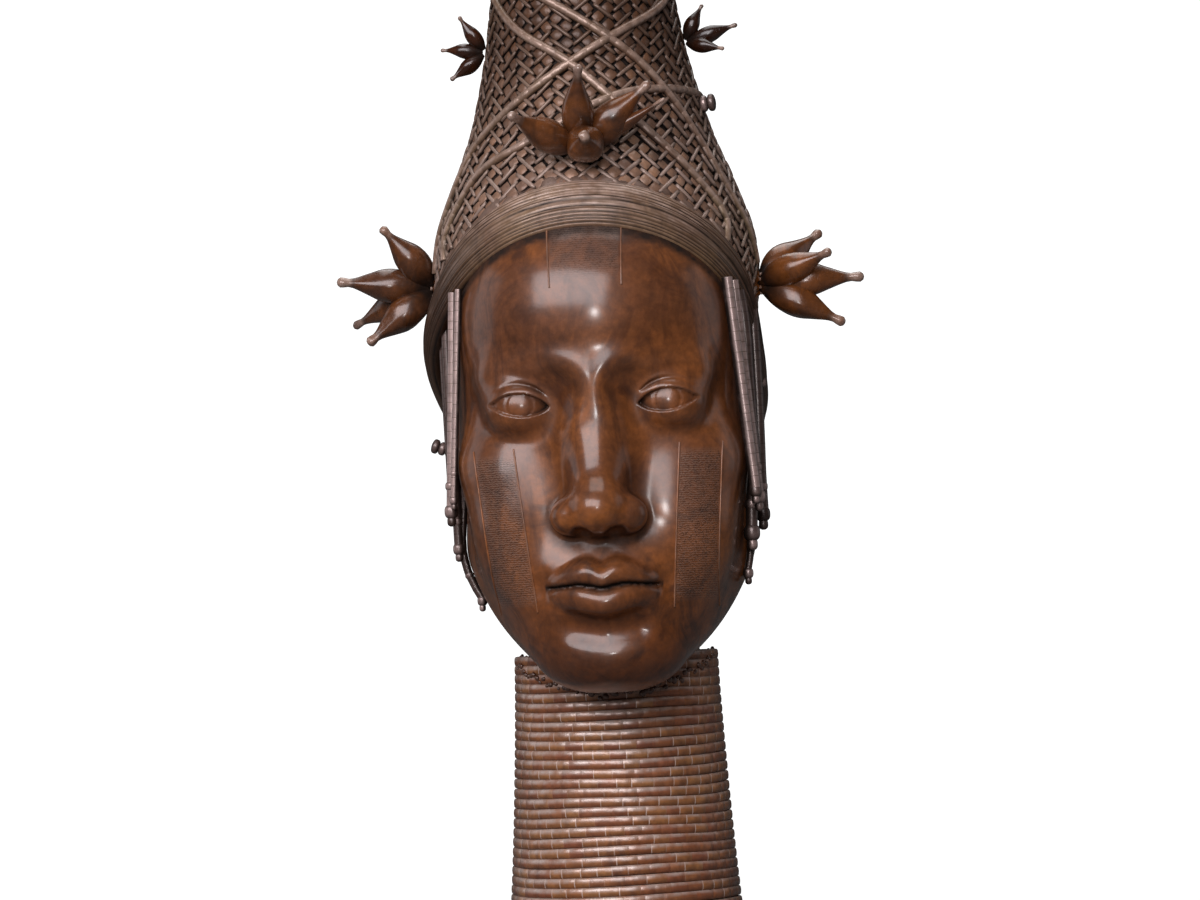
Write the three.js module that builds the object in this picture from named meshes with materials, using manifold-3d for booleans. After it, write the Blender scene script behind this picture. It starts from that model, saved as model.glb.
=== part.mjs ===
// Cast bronze head of a royal person: netted bead cap, bead sprays, hanging bead strings
// and a tall collar of stacked bead rings. The whole work is one hollow casting, modelled solid.
// Millimetres, +Z up. The face looks toward -Y, and +X is on the viewer's right.
// The origin is the middle of the flat underside.

import * as THREE from "three";
import { mergeVertices } from "three/addons/utils/BufferGeometryUtils.js";
import Module from "manifold-3d";

const wasm = await Module();
wasm.setup();

// Collar
const FOOT_RIM = 4.4;
const COLLAR_TOP = 128;
const COLLAR_RINGS = 30;
const COLLAR_TOP_RADIUS = 44.9;
const COLLAR_FOOT_RADIUS = 52.4;
const COLLAR_FLARE = 1.43;
const RING_DEPTH = 1.2;
const COLLAR_SIDES = 16;

// The head leans a little toward the viewer's left on the collar: its shift at the chin's
// height, and the shift for each millimetre above it.
const HEAD_SHIFT = 2.3;
const HEAD_LEAN = -0.0175;

// Face, divided in three equal heights from the chin to the headband
const CHIN = 114.5;
const THIRD = 67;
const NOSE = CHIN + THIRD;
const BROW = CHIN + 2 * THIRD;
const EYE_LEVEL = CHIN + 1.83 * THIRD;
const MOUTH = NOSE - THIRD / 3;
const EYE_WIDTH = 26;
const EYE_SPREAD = EYE_WIDTH + 5.5;
const EYE_BALL = 14.5;
const EYE_DEPTH = -75.5;
const MOUTH_WIDTH = 50;

// Cap: height, half width, front line and back line of its cross-sections
const CAP_SECTIONS = [
  [190, 46, -54, 52],
  [222, 65, -76, 82],
  [255, 69.8, -86, 91],
  [285, 70.6, -89, 92],
  [313, 68.8, -82, 88],
  [336, 61.5, -71, 81],
  [360, 52.5, -58, 71],
  [390, 44.5, -48, 59],
  [418, 39.7, -43, 46],
  [445, 34.5, -42, 33],
  [468, 27, -42, 19],
  [486, 17.5, -40, 3],
  [494, 9.5, -36, -11],
  [497, 0, -24, -24],
];
const CAP_TIP = 497;
const CAP_COLUMNS = 20;
const CAP_ROWS = 10;
const CAP_TOP_RING = 0.975;
const CAP_ROW_CROWDING = 0.9;

// The cap was cast a little askew: around one height it bulges toward the viewer's left.
const CAP_SWAY = 3.7;
const SWAY_HEIGHT = 265;
const SWAY_SPREAD = 24;

// Headband: its middle line falls from the forehead to the nape, steepest at the temples.
const BAND_FRONT = { y: -77, z: 321.5 };
const BAND_BACK = { y: 72, z: 210 };
const BAND_STEEPNESS = 0.93;
const BAND_HALF_HEIGHT = 11.2;
const BAND_HALF_THICKNESS = 4.6;
const BAND_COLUMNS = 24;
const BAND_CORNERS = 6;

// Long bead ribs on the cap, half sunk in it
const RIB_RADIUS = 2.3;
const RIB_LIFT = 0.2 * RIB_RADIUS;
const RIB_SIDES = 3;
const KNOB_SIDES = 6;

// Bead strings beside the cheeks
const STRING_SIDES = 5;
const STRING_GAP = 0.2;

// Smallest step between neighbouring points that still counts as two points
const WELD = 1e-3;

// Keeps divisions by a length away from nought
const TINY = 1e-9;

const radians = THREE.MathUtils.degToRad;

const shiftAt = (z) => HEAD_SHIFT + HEAD_LEAN * (z - CHIN);

const bronze = new THREE.MeshStandardMaterial({ color: 0x4b2f20, roughness: 0.36, metalness: 0.85 });

// Solids

function indexedGeometry(points, triangles) {
  const geometry = new THREE.BufferGeometry();
  geometry.setAttribute("position", new THREE.Float32BufferAttribute(points.flat(), 3));
  geometry.setIndex(triangles.flat());
  return geometry;
}

function solid(geometry) {
  const bare = geometry.clone();
  bare.deleteAttribute("normal");
  bare.deleteAttribute("uv");
  const merged = mergeVertices(bare, WELD);
  const index = merged.index.array;
  const kept = [];
  for (let i = 0; i < index.length; i += 3) {
    const [a, b, c] = [index[i], index[i + 1], index[i + 2]];
    if (a !== b && b !== c && c !== a) kept.push(a, b, c);
  }
  const vertProperties = new Float32Array(merged.attributes.position.array);
  const mesh = new wasm.Mesh({ numProp: 3, vertProperties, triVerts: new Uint32Array(kept) });
  return new wasm.Manifold(mesh);
}

// A closed skin of rings of points, each ring turning the same way, with one point at each end.
function skin(rings, firstPole, lastPole) {
  const count = rings[0].length;
  const points = [...rings.flat(), firstPole, lastPole];
  const first = points.length - 2;
  const last = points.length - 1;
  const triangles = [];
  for (let j = 0; j < count; j++) {
    const k = (j + 1) % count;
    triangles.push([first, k, j]);
    for (let i = 0; i + 1 < rings.length; i++) {
      const low = i * count;
      const high = low + count;
      triangles.push([low + j, low + k, high + k], [low + j, high + k, high + j]);
    }
    const top = (rings.length - 1) * count;
    triangles.push([last, top + j, top + k]);
  }
  return indexedGeometry(points, triangles);
}

// A ring-shaped skin: the last section joins the first one.
function ringSkin(sections) {
  const count = sections[0].length;
  const triangles = [];
  sections.forEach((_, i) => {
    const here = i * count;
    const next = ((i + 1) % sections.length) * count;
    for (let j = 0; j < count; j++) {
      const k = (j + 1) % count;
      triangles.push([here + j, next + j, next + k], [here + j, next + k, here + k]);
    }
  });
  return indexedGeometry(sections.flat(), triangles);
}

// A closed rod with few sides through the given points, each with its own radius. Its sections
// are turned so that one corner points along "out", away from what the rod lies on.
function rod(points, radii, outs, sides) {
  const rings = points.map((point, i) => {
    const next = points[Math.min(i + 1, points.length - 1)];
    const along = next.clone().sub(points[Math.max(i - 1, 0)]).normalize();
    const across = along.clone().cross(outs[i]).normalize();
    const out = across.clone().cross(along);
    return Array.from({ length: sides }, (_, j) => {
      const a = (j / sides) * 2 * Math.PI;
      const corner = point.clone().addScaledVector(out, radii[i] * Math.cos(a));
      return corner.addScaledVector(across, radii[i] * Math.sin(a)).toArray();
    });
  });
  return skin(rings, points[0].toArray(), points[points.length - 1].toArray());
}

// Distance to the head's surface, below zero inside

function smoothMin(a, b, blend) {
  const h = Math.min(Math.max(0.5 + (0.5 * (b - a)) / blend, 0), 1);
  return b * (1 - h) + a * h - blend * h * (1 - h);
}

const smoothMax = (a, b, blend) => -smoothMin(-a, -b, blend);

function ellipsoid([x, y, z], [cx, cy, cz], [rx, ry, rz]) {
  const [dx, dy, dz] = [x - cx, y - cy, z - cz];
  const near = Math.hypot(dx / rx, dy / ry, dz / rz) + TINY;
  const slope = Math.hypot(dx / (rx * rx), dy / (ry * ry), dz / (rz * rz)) + TINY;
  return (near * (near - 1)) / slope;
}

function taperedRod(p, a, b, startRadius, endRadius) {
  const axis = b.map((value, i) => value - a[i]);
  const rel = p.map((value, i) => value - a[i]);
  const length2 = axis.reduce((sum, value) => sum + value * value, 0);
  const along = rel.reduce((sum, value, i) => sum + value * axis[i], 0) / length2;
  const t = Math.min(Math.max(along, 0), 1);
  const gap = Math.hypot(...rel.map((value, i) => value - t * axis[i]));
  return gap - (startRadius + (endRadius - startRadius) * t);
}

function skullAndJaw(p, mirrored) {
  let d = ellipsoid(p, [0, -4, 262], [65, 87, 84]);
  d = smoothMin(d, ellipsoid(p, [0, -34, 214], [61.5, 54, 92]), 20);
  d = smoothMin(d, taperedRod(mirrored, [42, -16, 176], [16, -66, 136], 18, 18), 22);
  d = smoothMin(d, ellipsoid(p, [0, -75, CHIN + 18.5], [22, 20, 18.5]), 14);
  d = smoothMin(d, taperedRod(p, [0, 2, 190], [0, 0, 90], 41, 37), 18);
  d = smoothMin(d, ellipsoid(mirrored, [38, -60, 212], [20, 20, 15]), 18);
  d = smoothMin(d, ellipsoid(mirrored, [31, -66, NOSE + 0.5], [22, 20, 26]), 20);
  d = smoothMin(d, ellipsoid(p, [0, -70, MOUTH + 1], [33, 28, 26]), 14);
  d = smoothMin(d, ellipsoid(p, [0, -50, 280], [51, 45.5, 42]), 24);
  d = smoothMin(d, ellipsoid(mirrored, [58, 6, NOSE + 30], [7, 13, 26]), 3);
  return smoothMin(d, taperedRod(mirrored, [10, -87.5, BROW - 2], [41, -74, BROW + 1], 7, 6), 14);
}

function withEyes(d, p, mirrored) {
  const [side, y, z] = mirrored;
  d = smoothMax(d, -ellipsoid(mirrored, [EYE_SPREAD - 2, -99, EYE_LEVEL + 1], [19, 10, 12]), 12);
  d = smoothMax(d, -ellipsoid(mirrored, [15, -99, EYE_LEVEL], [8, 9, 11]), 10);
  const ball = Math.hypot(side - EYE_SPREAD, y - EYE_DEPTH, z - EYE_LEVEL);
  const across = (side - EYE_SPREAD) / (EYE_WIDTH / 2);
  const open = 1 - Math.min(Math.abs(across), 1) ** 2;
  const middle = EYE_LEVEL + 0.8 * across;
  let gap = smoothMax(z - (middle + 6.2 * open), middle - 4.8 * open - z, 0.8);
  gap = smoothMax(gap, Math.abs(side - EYE_SPREAD) - EYE_WIDTH / 2, 0.8);
  const lid = smoothMax(ball - (EYE_BALL + 1.6), Math.abs(z - EYE_LEVEL) - 12.5, 6);
  d = smoothMin(d, lid, 5);
  return smoothMax(d, -smoothMax(gap, EYE_BALL - ball, 0.6), 0.6);
}

function withNose(d, p, mirrored) {
  d = smoothMin(d, taperedRod(p, [0, -81, EYE_LEVEL + 12], [0, -93, NOSE + 11], 7.5, 12.5), 9);
  d = smoothMin(d, taperedRod(p, [0, -90.5, EYE_LEVEL + 4], [0, -104, NOSE + 13], 4.2, 7), 8);
  d = smoothMin(d, ellipsoid(p, [0, -104.5, NOSE + 9.5], [9.5, 10.5, 8.6]), 6);
  return smoothMin(d, ellipsoid(mirrored, [12.4, -97.5, NOSE + 7.5], [6.6, 9.5, 7.2]), 5);
}

function withMouth(d, p, mirrored) {
  const [side, y, z] = mirrored;
  const half = MOUTH_WIDTH / 2;
  const full = (1 - Math.min(side / half, 1) ** 2) ** 0.62;
  const bend = 0.0135 * side * side;
  const past = Math.max(side - half, 0);
  const lip = (front, height, size) => Math.hypot((y - front - bend) / 1.35, z - height, past) - size;
  d = smoothMin(d, lip(-95.4, MOUTH + 3.3 * full, 5 * full + 0.3), 2.4);
  d = smoothMin(d, lip(-94.2, MOUTH - 4.6 * full, 6.1 * full + 0.3), 3);
  let line = smoothMax(Math.abs(z - MOUTH) - 0.6, y + 91 - bend, 1);
  line = smoothMax(line, side - (half - 1), 1.5);
  d = smoothMax(d, -line, 2);
  const fold = taperedRod(mirrored, [0, -99.5, MOUTH - 17.5], [13, -95.5, MOUTH - 15.5], 3.6, 2);
  return smoothMax(d, -fold, 8);
}

function headDistance(x, y, z) {
  const p = [x, y, z];
  const mirrored = [Math.hypot(x, 1), y, z];
  let d = skullAndJaw(p, mirrored);
  d = withEyes(d, p, mirrored);
  d = withNose(d, p, mirrored);
  return withMouth(d, p, mirrored);
}

// The head's skin is read along rays that leave an upright core line inside the head.
// Levels up the core are heights; past its two ends the rays fan out over a quarter turn.
const CORE = { y: -25, low: 185, high: 262, fan: 76 };
const LEVEL_MIN = CORE.low - CORE.fan * (Math.PI / 2);
const LEVEL_MAX = CORE.high + CORE.fan * (Math.PI / 2);
const HEAD_COLUMNS = 34;
const FRONT_CROWDING = 0.6;

// A point on a ray starts well outside the head and moves in by a share of its distance.
const RAY_START = 175;
const RAY_SHARE = 0.7;
const RAY_STEPS = 200;
const RAY_CLOSE = 0.01;

function skinPoint(turn, level) {
  const base = Math.min(Math.max(level, CORE.low), CORE.high);
  const tilt = (level - base) / CORE.fan;
  const ray = [Math.sin(turn) * Math.cos(tilt), -Math.cos(turn) * Math.cos(tilt), Math.sin(tilt)];
  let reach = RAY_START;
  for (let i = 0; i < RAY_STEPS; i++) {
    const d = headDistance(ray[0] * reach, CORE.y + ray[1] * reach, base + ray[2] * reach);
    if (d < RAY_CLOSE) break;
    reach -= RAY_SHARE * d;
  }
  const z = base + ray[2] * reach;
  return [shiftAt(z) + ray[0] * reach, CORE.y + ray[1] * reach, z];
}

// Levels are closest together where the lips, the base of the nose and the eyes are.
function headLevels() {
  const spans = [
    [LEVEL_MIN, 102, 2],
    [102, CHIN + 19, 4],
    [CHIN + 19, MOUTH - 10, 3],
    [MOUTH - 10, MOUTH + 9, 6],
    [MOUTH + 9, NOSE - 3, 2],
    [NOSE - 3, NOSE + 6, 2],
    [NOSE + 6, NOSE + 20, 2],
    [NOSE + 20, EYE_LEVEL - 8, 3],
    [EYE_LEVEL - 8, EYE_LEVEL + 11, 6],
    [EYE_LEVEL + 11, CORE.high, 2],
    [CORE.high, LEVEL_MAX, 6],
  ];
  const levels = [];
  for (const [from, to, count] of spans) {
    for (let i = 1; i <= count; i++) levels.push(from + ((to - from) * i) / count);
  }
  return levels.slice(0, -1);
}

function head() {
  const turns = Array.from({ length: HEAD_COLUMNS }, (_, j) => {
    const even = (j / HEAD_COLUMNS - 0.5) * 2 * Math.PI;
    return even - FRONT_CROWDING * Math.sin(even);
  });
  const rings = headLevels().map((level) => turns.map((turn) => skinPoint(turn, level)));
  return skin(rings, skinPoint(0, LEVEL_MIN), skinPoint(0, LEVEL_MAX));
}

// Collar

function collar() {
  const pitch = (COLLAR_TOP - FOOT_RIM) / COLLAR_RINGS;
  const radiusAt = (z) => {
    const down = (COLLAR_TOP - z) / COLLAR_TOP;
    return COLLAR_TOP_RADIUS + (COLLAR_FOOT_RADIUS - COLLAR_TOP_RADIUS) * down ** COLLAR_FLARE;
  };
  const profile = [new THREE.Vector2(0, 0), new THREE.Vector2(radiusAt(0), 0)];
  profile.push(new THREE.Vector2(radiusAt(FOOT_RIM), FOOT_RIM - 0.6));
  for (let i = 0; i < COLLAR_RINGS; i++) {
    const low = FOOT_RIM + i * pitch;
    profile.push(new THREE.Vector2(radiusAt(low) - RING_DEPTH, low));
    profile.push(new THREE.Vector2(radiusAt(low + pitch / 2), low + pitch / 2));
  }
  profile.push(new THREE.Vector2(COLLAR_TOP_RADIUS - RING_DEPTH, COLLAR_TOP));
  profile.push(new THREE.Vector2(0, COLLAR_TOP));
  const turned = new THREE.LatheGeometry(profile, COLLAR_SIDES);
  turned.rotateX(Math.PI / 2);
  return turned;
}

// Cap

function capSection(z) {
  const last = CAP_SECTIONS.length - 1;
  let i = 0;
  while (i < last - 1 && z > CAP_SECTIONS[i + 1][0]) i++;
  const before = CAP_SECTIONS[Math.max(i - 1, 0)];
  const from = CAP_SECTIONS[i];
  const to = CAP_SECTIONS[i + 1];
  const after = CAP_SECTIONS[Math.min(i + 2, last)];
  const span = to[0] - from[0];
  const t = Math.min(Math.max((z - from[0]) / span, 0), 1);
  return [1, 2, 3].map((k) => {
    const slopeIn = ((to[k] - before[k]) / (to[0] - before[0])) * span;
    const slopeOut = ((after[k] - from[k]) / (after[0] - from[0])) * span;
    const h = t * t * (3 - 2 * t);
    const bulge = t * (1 - t) * (slopeIn * (1 - t) - slopeOut * t);
    return from[k] + (to[k] - from[k]) * h + bulge;
  });
}

// A point of the cap: turn 0 is its front and a quarter turn is the viewer's right.
function capPoint(turn, z, lift = 0) {
  const [halfWidth, front, back] = capSection(z);
  const middle = (front + back) / 2;
  const halfDepth = (back - front) / 2;
  const sway = CAP_SWAY * Math.exp(-(((z - SWAY_HEIGHT) / SWAY_SPREAD) ** 2));
  const x = shiftAt(z) - sway + (halfWidth + lift) * Math.sin(turn);
  return new THREE.Vector3(x, middle - (halfDepth + lift) * Math.cos(turn), z);
}

// The headband's middle line is found step by step, because the cap's depth changes with height.
const SETTLE_STEPS = 60;
const SETTLE_SHARE = 0.4;

function bandHeight(turn) {
  const reach = BAND_BACK.y - BAND_FRONT.y;
  const fall = BAND_STEEPNESS * reach;
  let z = (BAND_FRONT.z + BAND_BACK.z) / 2;
  for (let i = 0; i < SETTLE_STEPS; i++) {
    const share = (capPoint(turn, z).y - BAND_FRONT.y) / reach;
    const wanted = BAND_FRONT.z - fall * share + (BAND_BACK.z - BAND_FRONT.z + fall) * share ** 2;
    z += SETTLE_SHARE * (wanted - z);
  }
  return z;
}

function capTurns(count) {
  return Array.from({ length: count }, (_, j) => (j / count) * 2 * Math.PI);
}

function cap() {
  const rings = [];
  for (let i = 0; i < CAP_ROWS; i++) {
    const rise = CAP_TOP_RING * (i / (CAP_ROWS - 1)) ** CAP_ROW_CROWDING;
    rings.push(capTurns(CAP_COLUMNS).map((turn) => {
      const start = bandHeight(turn);
      return capPoint(turn, start + (CAP_TIP - start) * rise).toArray();
    }));
  }
  const floor = rings[0];
  const middle = [0, 1, 2].map((k) => floor.reduce((sum, p) => sum + p[k], 0) / floor.length);
  return skin(rings, middle, capPoint(0, CAP_TIP).toArray());
}

function headband() {
  const sections = capTurns(BAND_COLUMNS).map((turn) => {
    const z = bandHeight(turn);
    const centre = capPoint(turn, z);
    const up = capPoint(turn, z + 6).sub(capPoint(turn, z - 6)).normalize();
    const [before, after] = [turn - 0.05, turn + 0.05].map((t) => capPoint(t, bandHeight(t)));
    const along = after.sub(before).normalize();
    const out = along.clone().cross(up).normalize();
    const lengthwise = out.clone().cross(along).normalize();
    return Array.from({ length: BAND_CORNERS }, (_, i) => {
      const a = ((i + 0.5) / BAND_CORNERS) * 2 * Math.PI;
      const p = centre.clone().addScaledVector(out, BAND_HALF_THICKNESS * Math.cos(a));
      return p.addScaledVector(lengthwise, BAND_HALF_HEIGHT * Math.sin(a)).toArray();
    });
  });
  return ringSkin(sections);
}

// Ribs: azimuth in degrees and height of the points that each one passes
const RIBS = [
  [
    [79, 300], [79, 317], [66, 330], [62, 352], [54, 367], [37, 384],
    [18, 397], [-9, 411], [-40, 424], [-95, 446], [-150, 466],
  ],
  [
    [57, 306], [59, 318], [51, 332], [37, 349], [11, 374],
    [-9, 389], [-36, 402], [-66, 419], [-110, 441], [-165, 462],
  ],
  [
    [-80, 300], [-79, 319], [-67, 347], [-51, 361], [-12, 383],
    [22, 399], [60, 413], [88, 428], [130, 450], [175, 470],
  ],
  [
    [-65, 304], [-66, 317], [-51, 340], [-23, 353], [5, 367],
    [35, 374], [90, 374], [140, 364], [178, 350],
  ],
  [
    [259, 246], [258, 285], [246, 330], [236, 360],
    [217, 384], [194, 400], [165, 414], [120, 432],
  ],
  [
    [221, 226], [229, 270], [228, 320], [215, 350],
    [190, 375], [165, 392], [135, 408], [104, 424],
  ],
];

function rib(stations) {
  const marks = stations.map(([azimuth, z]) => new THREE.Vector3(azimuth, z, 0));
  const course = new THREE.CatmullRomCurve3(marks);
  const steps = stations.length - 2;
  const points = [];
  const outs = [];
  for (let i = 0; i <= steps; i++) {
    const { x: azimuth, y: z } = course.getPoint(i / steps);
    const turn = radians(azimuth);
    points.push(capPoint(turn, z, RIB_LIFT));
    outs.push(capPoint(turn, z, 1).sub(capPoint(turn, z)));
  }
  return rod(points, points.map(() => RIB_RADIUS), outs, RIB_SIDES);
}

// Sprays: pear-shaped beads on the cap. Each bead has its lift above level, its swing
// toward the viewer's right and its length.
const SPRAYS = [
  { turn: -86, z: 294, width: 15, beads: [[47, 30, 37.5], [6, 8, 43.5], [-18, -30, 45], [-37, 14, 39]] },
  { turn: 86, z: 290, width: 15.5, beads: [[35, 34, 40], [17, -26, 40], [1, 0, 47], [-27, -6, 43]] },
  {
    turn: 0, z: 347, width: 15,
    beads: [[55, 4, 42], [20, -47, 42], [40, 75, 42], [26, 71, 44], [7, 6, 30]],
  },
  { turn: -86, z: 398, width: 8, beads: [[54, 15, 20], [6, -10, 20.5], [-36, 5, 20]] },
  { turn: 86, z: 398, width: 7.5, beads: [[62, 10, 19], [16, 0, 25], [-12, -25, 21]] },
];

// Outline of a bead from its seat to its knob: share of length, share of half width.
const BEAD_SIDES = 5;
const BEAD_ROOT = 2;
const BEAD_OUTLINE = [[0, 0], [0.02, 0.6], [0.32, 1.05], [0.6, 0.72], [0.84, 0.24], [0.93, 0.38], [1, 0]];

function bead({ turn, z, width }, [lift, swing, length]) {
  const half = width / 2;
  const profile = BEAD_OUTLINE.map(([along, wide]) => new THREE.Vector2(wide * half, along * length));
  const pear = new THREE.LatheGeometry(profile, BEAD_SIDES);
  const heading = radians(turn + swing);
  const rise = radians(lift);
  const way = new THREE.Vector3(Math.sin(heading), -Math.cos(heading), Math.tan(rise)).normalize();
  const seat = capPoint(radians(turn), z, 1).addScaledVector(way, -BEAD_ROOT);
  pear.applyQuaternion(new THREE.Quaternion().setFromUnitVectors(new THREE.Vector3(0, 1, 0), way));
  pear.translate(seat.x, seat.y, seat.z);
  return pear;
}

// Small knobs that stand out sideways: one closes a rib, two show past the strings
const KNOBS = [
  { from: [44, -2, 370], to: [54, -3, 371], radius: 4 },
  { from: [-58, -14, 218], to: [-76, -14, 225], radius: 3 },
  { from: [62, 4, 246], to: [71, 4, 247.5], radius: 2.6 },
];

function knob({ from, to, radius }) {
  const ends = [from, to].map((place) => new THREE.Vector3(...place));
  const up = new THREE.Vector3(0, 0, 1);
  return rod(ends, [radius, radius], [up, up], KNOB_SIDES);
}

// Strings: side, distance behind the core of the head, top, bottom, radius, radius of the knob,
// and how closely the string follows the head where it narrows, from 0 to 1
const STRINGS = [
  { side: -1, y: -61, top: 290, bottom: 200, radius: 1.5, knob: 1.9, cling: 0 },
  { side: -1, y: -55, top: 289, bottom: 196, radius: 2.1, knob: 3, cling: 0 },
  { side: -1, y: -24, top: 280, bottom: 197, radius: 2.5, knob: 3, cling: 0 },
  { side: -1, y: -32, top: 283, bottom: 180, radius: 2, knob: 2.6, cling: 0.3 },
  { side: -1, y: -22, top: 277, bottom: 157, radius: 1.8, knob: 2.2, cling: 1 },
  { side: 1, y: -59, top: 290, bottom: 199, radius: 2.4, knob: 2.6, cling: 0 },
  { side: 1, y: -52, top: 289, bottom: 197, radius: 2.3, knob: 3, cling: 0 },
  { side: 1, y: -44, top: 285, bottom: 182, radius: 2.6, knob: 3.6, cling: 0.8 },
  { side: 1, y: -36, top: 283, bottom: 164, radius: 1.5, knob: 2.3, cling: 1 },
  { side: 1, y: -24, top: 278, bottom: 190, radius: 2.6, knob: 3.2, cling: 0.15 },
];

// Half width of the head where a string of one radius touches it
function halfWidthAt(y, z, radius) {
  const [widest, narrowest, step] = [90, 30, 0.5];
  let half = widest;
  while (half > narrowest && headDistance(half, y, z) > radius + STRING_GAP) half -= step;
  return half;
}

function hangingString({ side, y, top, bottom, radius, knob: end, cling }) {
  const free = bottom + 2.5 * end;
  const stations = [
    [top, radius],
    [(top + free) / 2, radius],
    [free, radius],
    [bottom + end, end],
    [bottom, 0.7 * end],
  ];
  let widest = 0;
  const points = stations.map(([z]) => {
    const touching = halfWidthAt(y, z, radius);
    widest = Math.max(widest, touching);
    return new THREE.Vector3(shiftAt(z) + side * (widest + (touching - widest) * cling), y, z);
  });
  const outs = points.map(() => new THREE.Vector3(side, 0, 0));
  return rod(points, stations.map(([, size]) => size), outs, STRING_SIDES);
}

// The one casting

const forms = [head(), collar(), cap(), headband()];
forms.push(...RIBS.map(rib), ...STRINGS.map(hangingString), ...KNOBS.map(knob));
for (const spray of SPRAYS) forms.push(...spray.beads.map((one) => bead(spray, one)));

// Pockets that the forms close off between them are metal too, so only the outer skin is kept.
const joined = forms.map(solid).reduce((whole, form) => whole.add(form));
const skins = joined.decompose().sort((a, b) => b.volume() - a.volume());
const casting = skins[0].getMesh();
const casted = new THREE.BufferGeometry();
casted.setAttribute("position", new THREE.Float32BufferAttribute(casting.vertProperties, 3));
casted.setIndex(Array.from(casting.triVerts));
casted.computeVertexNormals();

const bronzeHead = new THREE.Mesh(casted, bronze);
bronzeHead.name = "bronze_head";

const part = new THREE.Group();
part.add(bronzeHead);

export default part;
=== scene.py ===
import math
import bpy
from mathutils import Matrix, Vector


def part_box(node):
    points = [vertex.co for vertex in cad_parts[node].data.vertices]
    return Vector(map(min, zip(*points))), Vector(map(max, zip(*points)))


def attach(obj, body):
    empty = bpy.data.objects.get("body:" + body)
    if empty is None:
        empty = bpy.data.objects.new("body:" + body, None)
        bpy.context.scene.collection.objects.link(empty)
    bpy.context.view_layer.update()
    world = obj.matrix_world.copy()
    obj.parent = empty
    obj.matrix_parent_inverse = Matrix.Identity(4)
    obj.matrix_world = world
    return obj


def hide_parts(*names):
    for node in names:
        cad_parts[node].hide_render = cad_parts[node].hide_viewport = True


bl_info = {
    "name": "Bronze royal head",
    "version": (1, 0, 0),
    "blender": (4, 5, 0),
    "location": "3D View > Sidebar > Bronze head",
    "description": "Builds a cast bronze head with its netted bead cap and ringed collar around its frame",
    "category": "Object",
}

import bpy
import numpy as np
from bpy.props import FloatProperty, FloatVectorProperty, IntProperty, PointerProperty
from mathutils import Matrix, Vector

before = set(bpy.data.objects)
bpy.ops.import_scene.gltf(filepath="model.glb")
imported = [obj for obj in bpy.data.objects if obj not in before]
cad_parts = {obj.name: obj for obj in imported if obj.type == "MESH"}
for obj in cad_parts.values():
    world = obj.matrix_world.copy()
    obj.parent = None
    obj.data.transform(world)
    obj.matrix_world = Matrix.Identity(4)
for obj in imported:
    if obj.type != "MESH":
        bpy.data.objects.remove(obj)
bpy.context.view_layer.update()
NODE = "bronze_head"
BODY = "root"

# Lengths below are in millimetres, turned into metres where a mesh is made.
MM = 0.001
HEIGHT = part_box(NODE)[1].z / MM
FULL_TURN = 2 * math.pi

# The head leans a little toward the viewer's left on its collar.
HEAD_SHIFT = 2.3
HEAD_LEAN = -0.0175

# Face, divided in three equal heights from the chin to the headband
CHIN = 114.5
THIRD = 67.0
NOSE = CHIN + THIRD
BROW = CHIN + 2 * THIRD
EYE_LEVEL = CHIN + 1.83 * THIRD
MOUTH = NOSE - THIRD / 3
EYE_WIDTH = 26.0
EYE_SPREAD = EYE_WIDTH + 5.5
EYE_BALL = 14.5
EYE_DEPTH = -75.5
MOUTH_WIDTH = 50.0

# Hatched panels: half width of the one on the forehead, edges and lean of those on the cheeks
FOREHEAD_PANEL = 15.0
CHEEK_PANEL = (30.0, 48.0)
CHEEK_LEAN = 0.09

# The head's skin is read along rays that leave an upright core line inside the head.
# Levels up the core are heights; past its two ends the rays fan out over a quarter turn.
CORE_Y = -25.0
CORE_LOW = 185.0
CORE_HIGH = 262.0
CORE_FAN = 76.0
LEVEL_MIN = CORE_LOW - CORE_FAN * math.pi / 2
LEVEL_MAX = CORE_HIGH + CORE_FAN * math.pi / 2

# Each step along a ray is a share of the distance left, until that is small enough.
MARCH_STEPS = 220
MARCH_SHARE = 0.6
MARCH_NEAR = 0.003

# Cap: height, half width, front line and back line of its cross-sections
CAP_SECTIONS = [
    (190, 46, -54, 52),
    (222, 65, -76, 82),
    (255, 69.8, -86, 91),
    (285, 70.6, -89, 92),
    (313, 68.8, -82, 88),
    (336, 61.5, -71, 81),
    (360, 52.5, -58, 71),
    (390, 44.5, -48, 59),
    (418, 39.7, -43, 46),
    (445, 34.5, -42, 33),
    (468, 27, -42, 19),
    (486, 17.5, -40, 3),
    (494, 9.5, -36, -11),
    (497, 0, -24, -24),
]
CAP_FOOT = CAP_SECTIONS[0][0]

# The cap was cast a little askew: around one height it bulges toward the viewer's left.
CAP_SWAY = 3.7
SWAY_HEIGHT = 265.0
SWAY_SPREAD = 24.0

# Headband: its middle line falls from the forehead to the nape, steepest at the temples.
BAND_FRONT = (-77.0, 321.5)
BAND_BACK = (72.0, 210.0)
BAND_STEEPNESS = 0.93

# The net starts this far above the headband's middle line, and leaves a narrow gap at the back.
NET_START = 9.5
NET_SEAM = 3.0

# Height gained for one millimetre up the cap's wall, which leans inward
WALL_LEAN = 0.95

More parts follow.
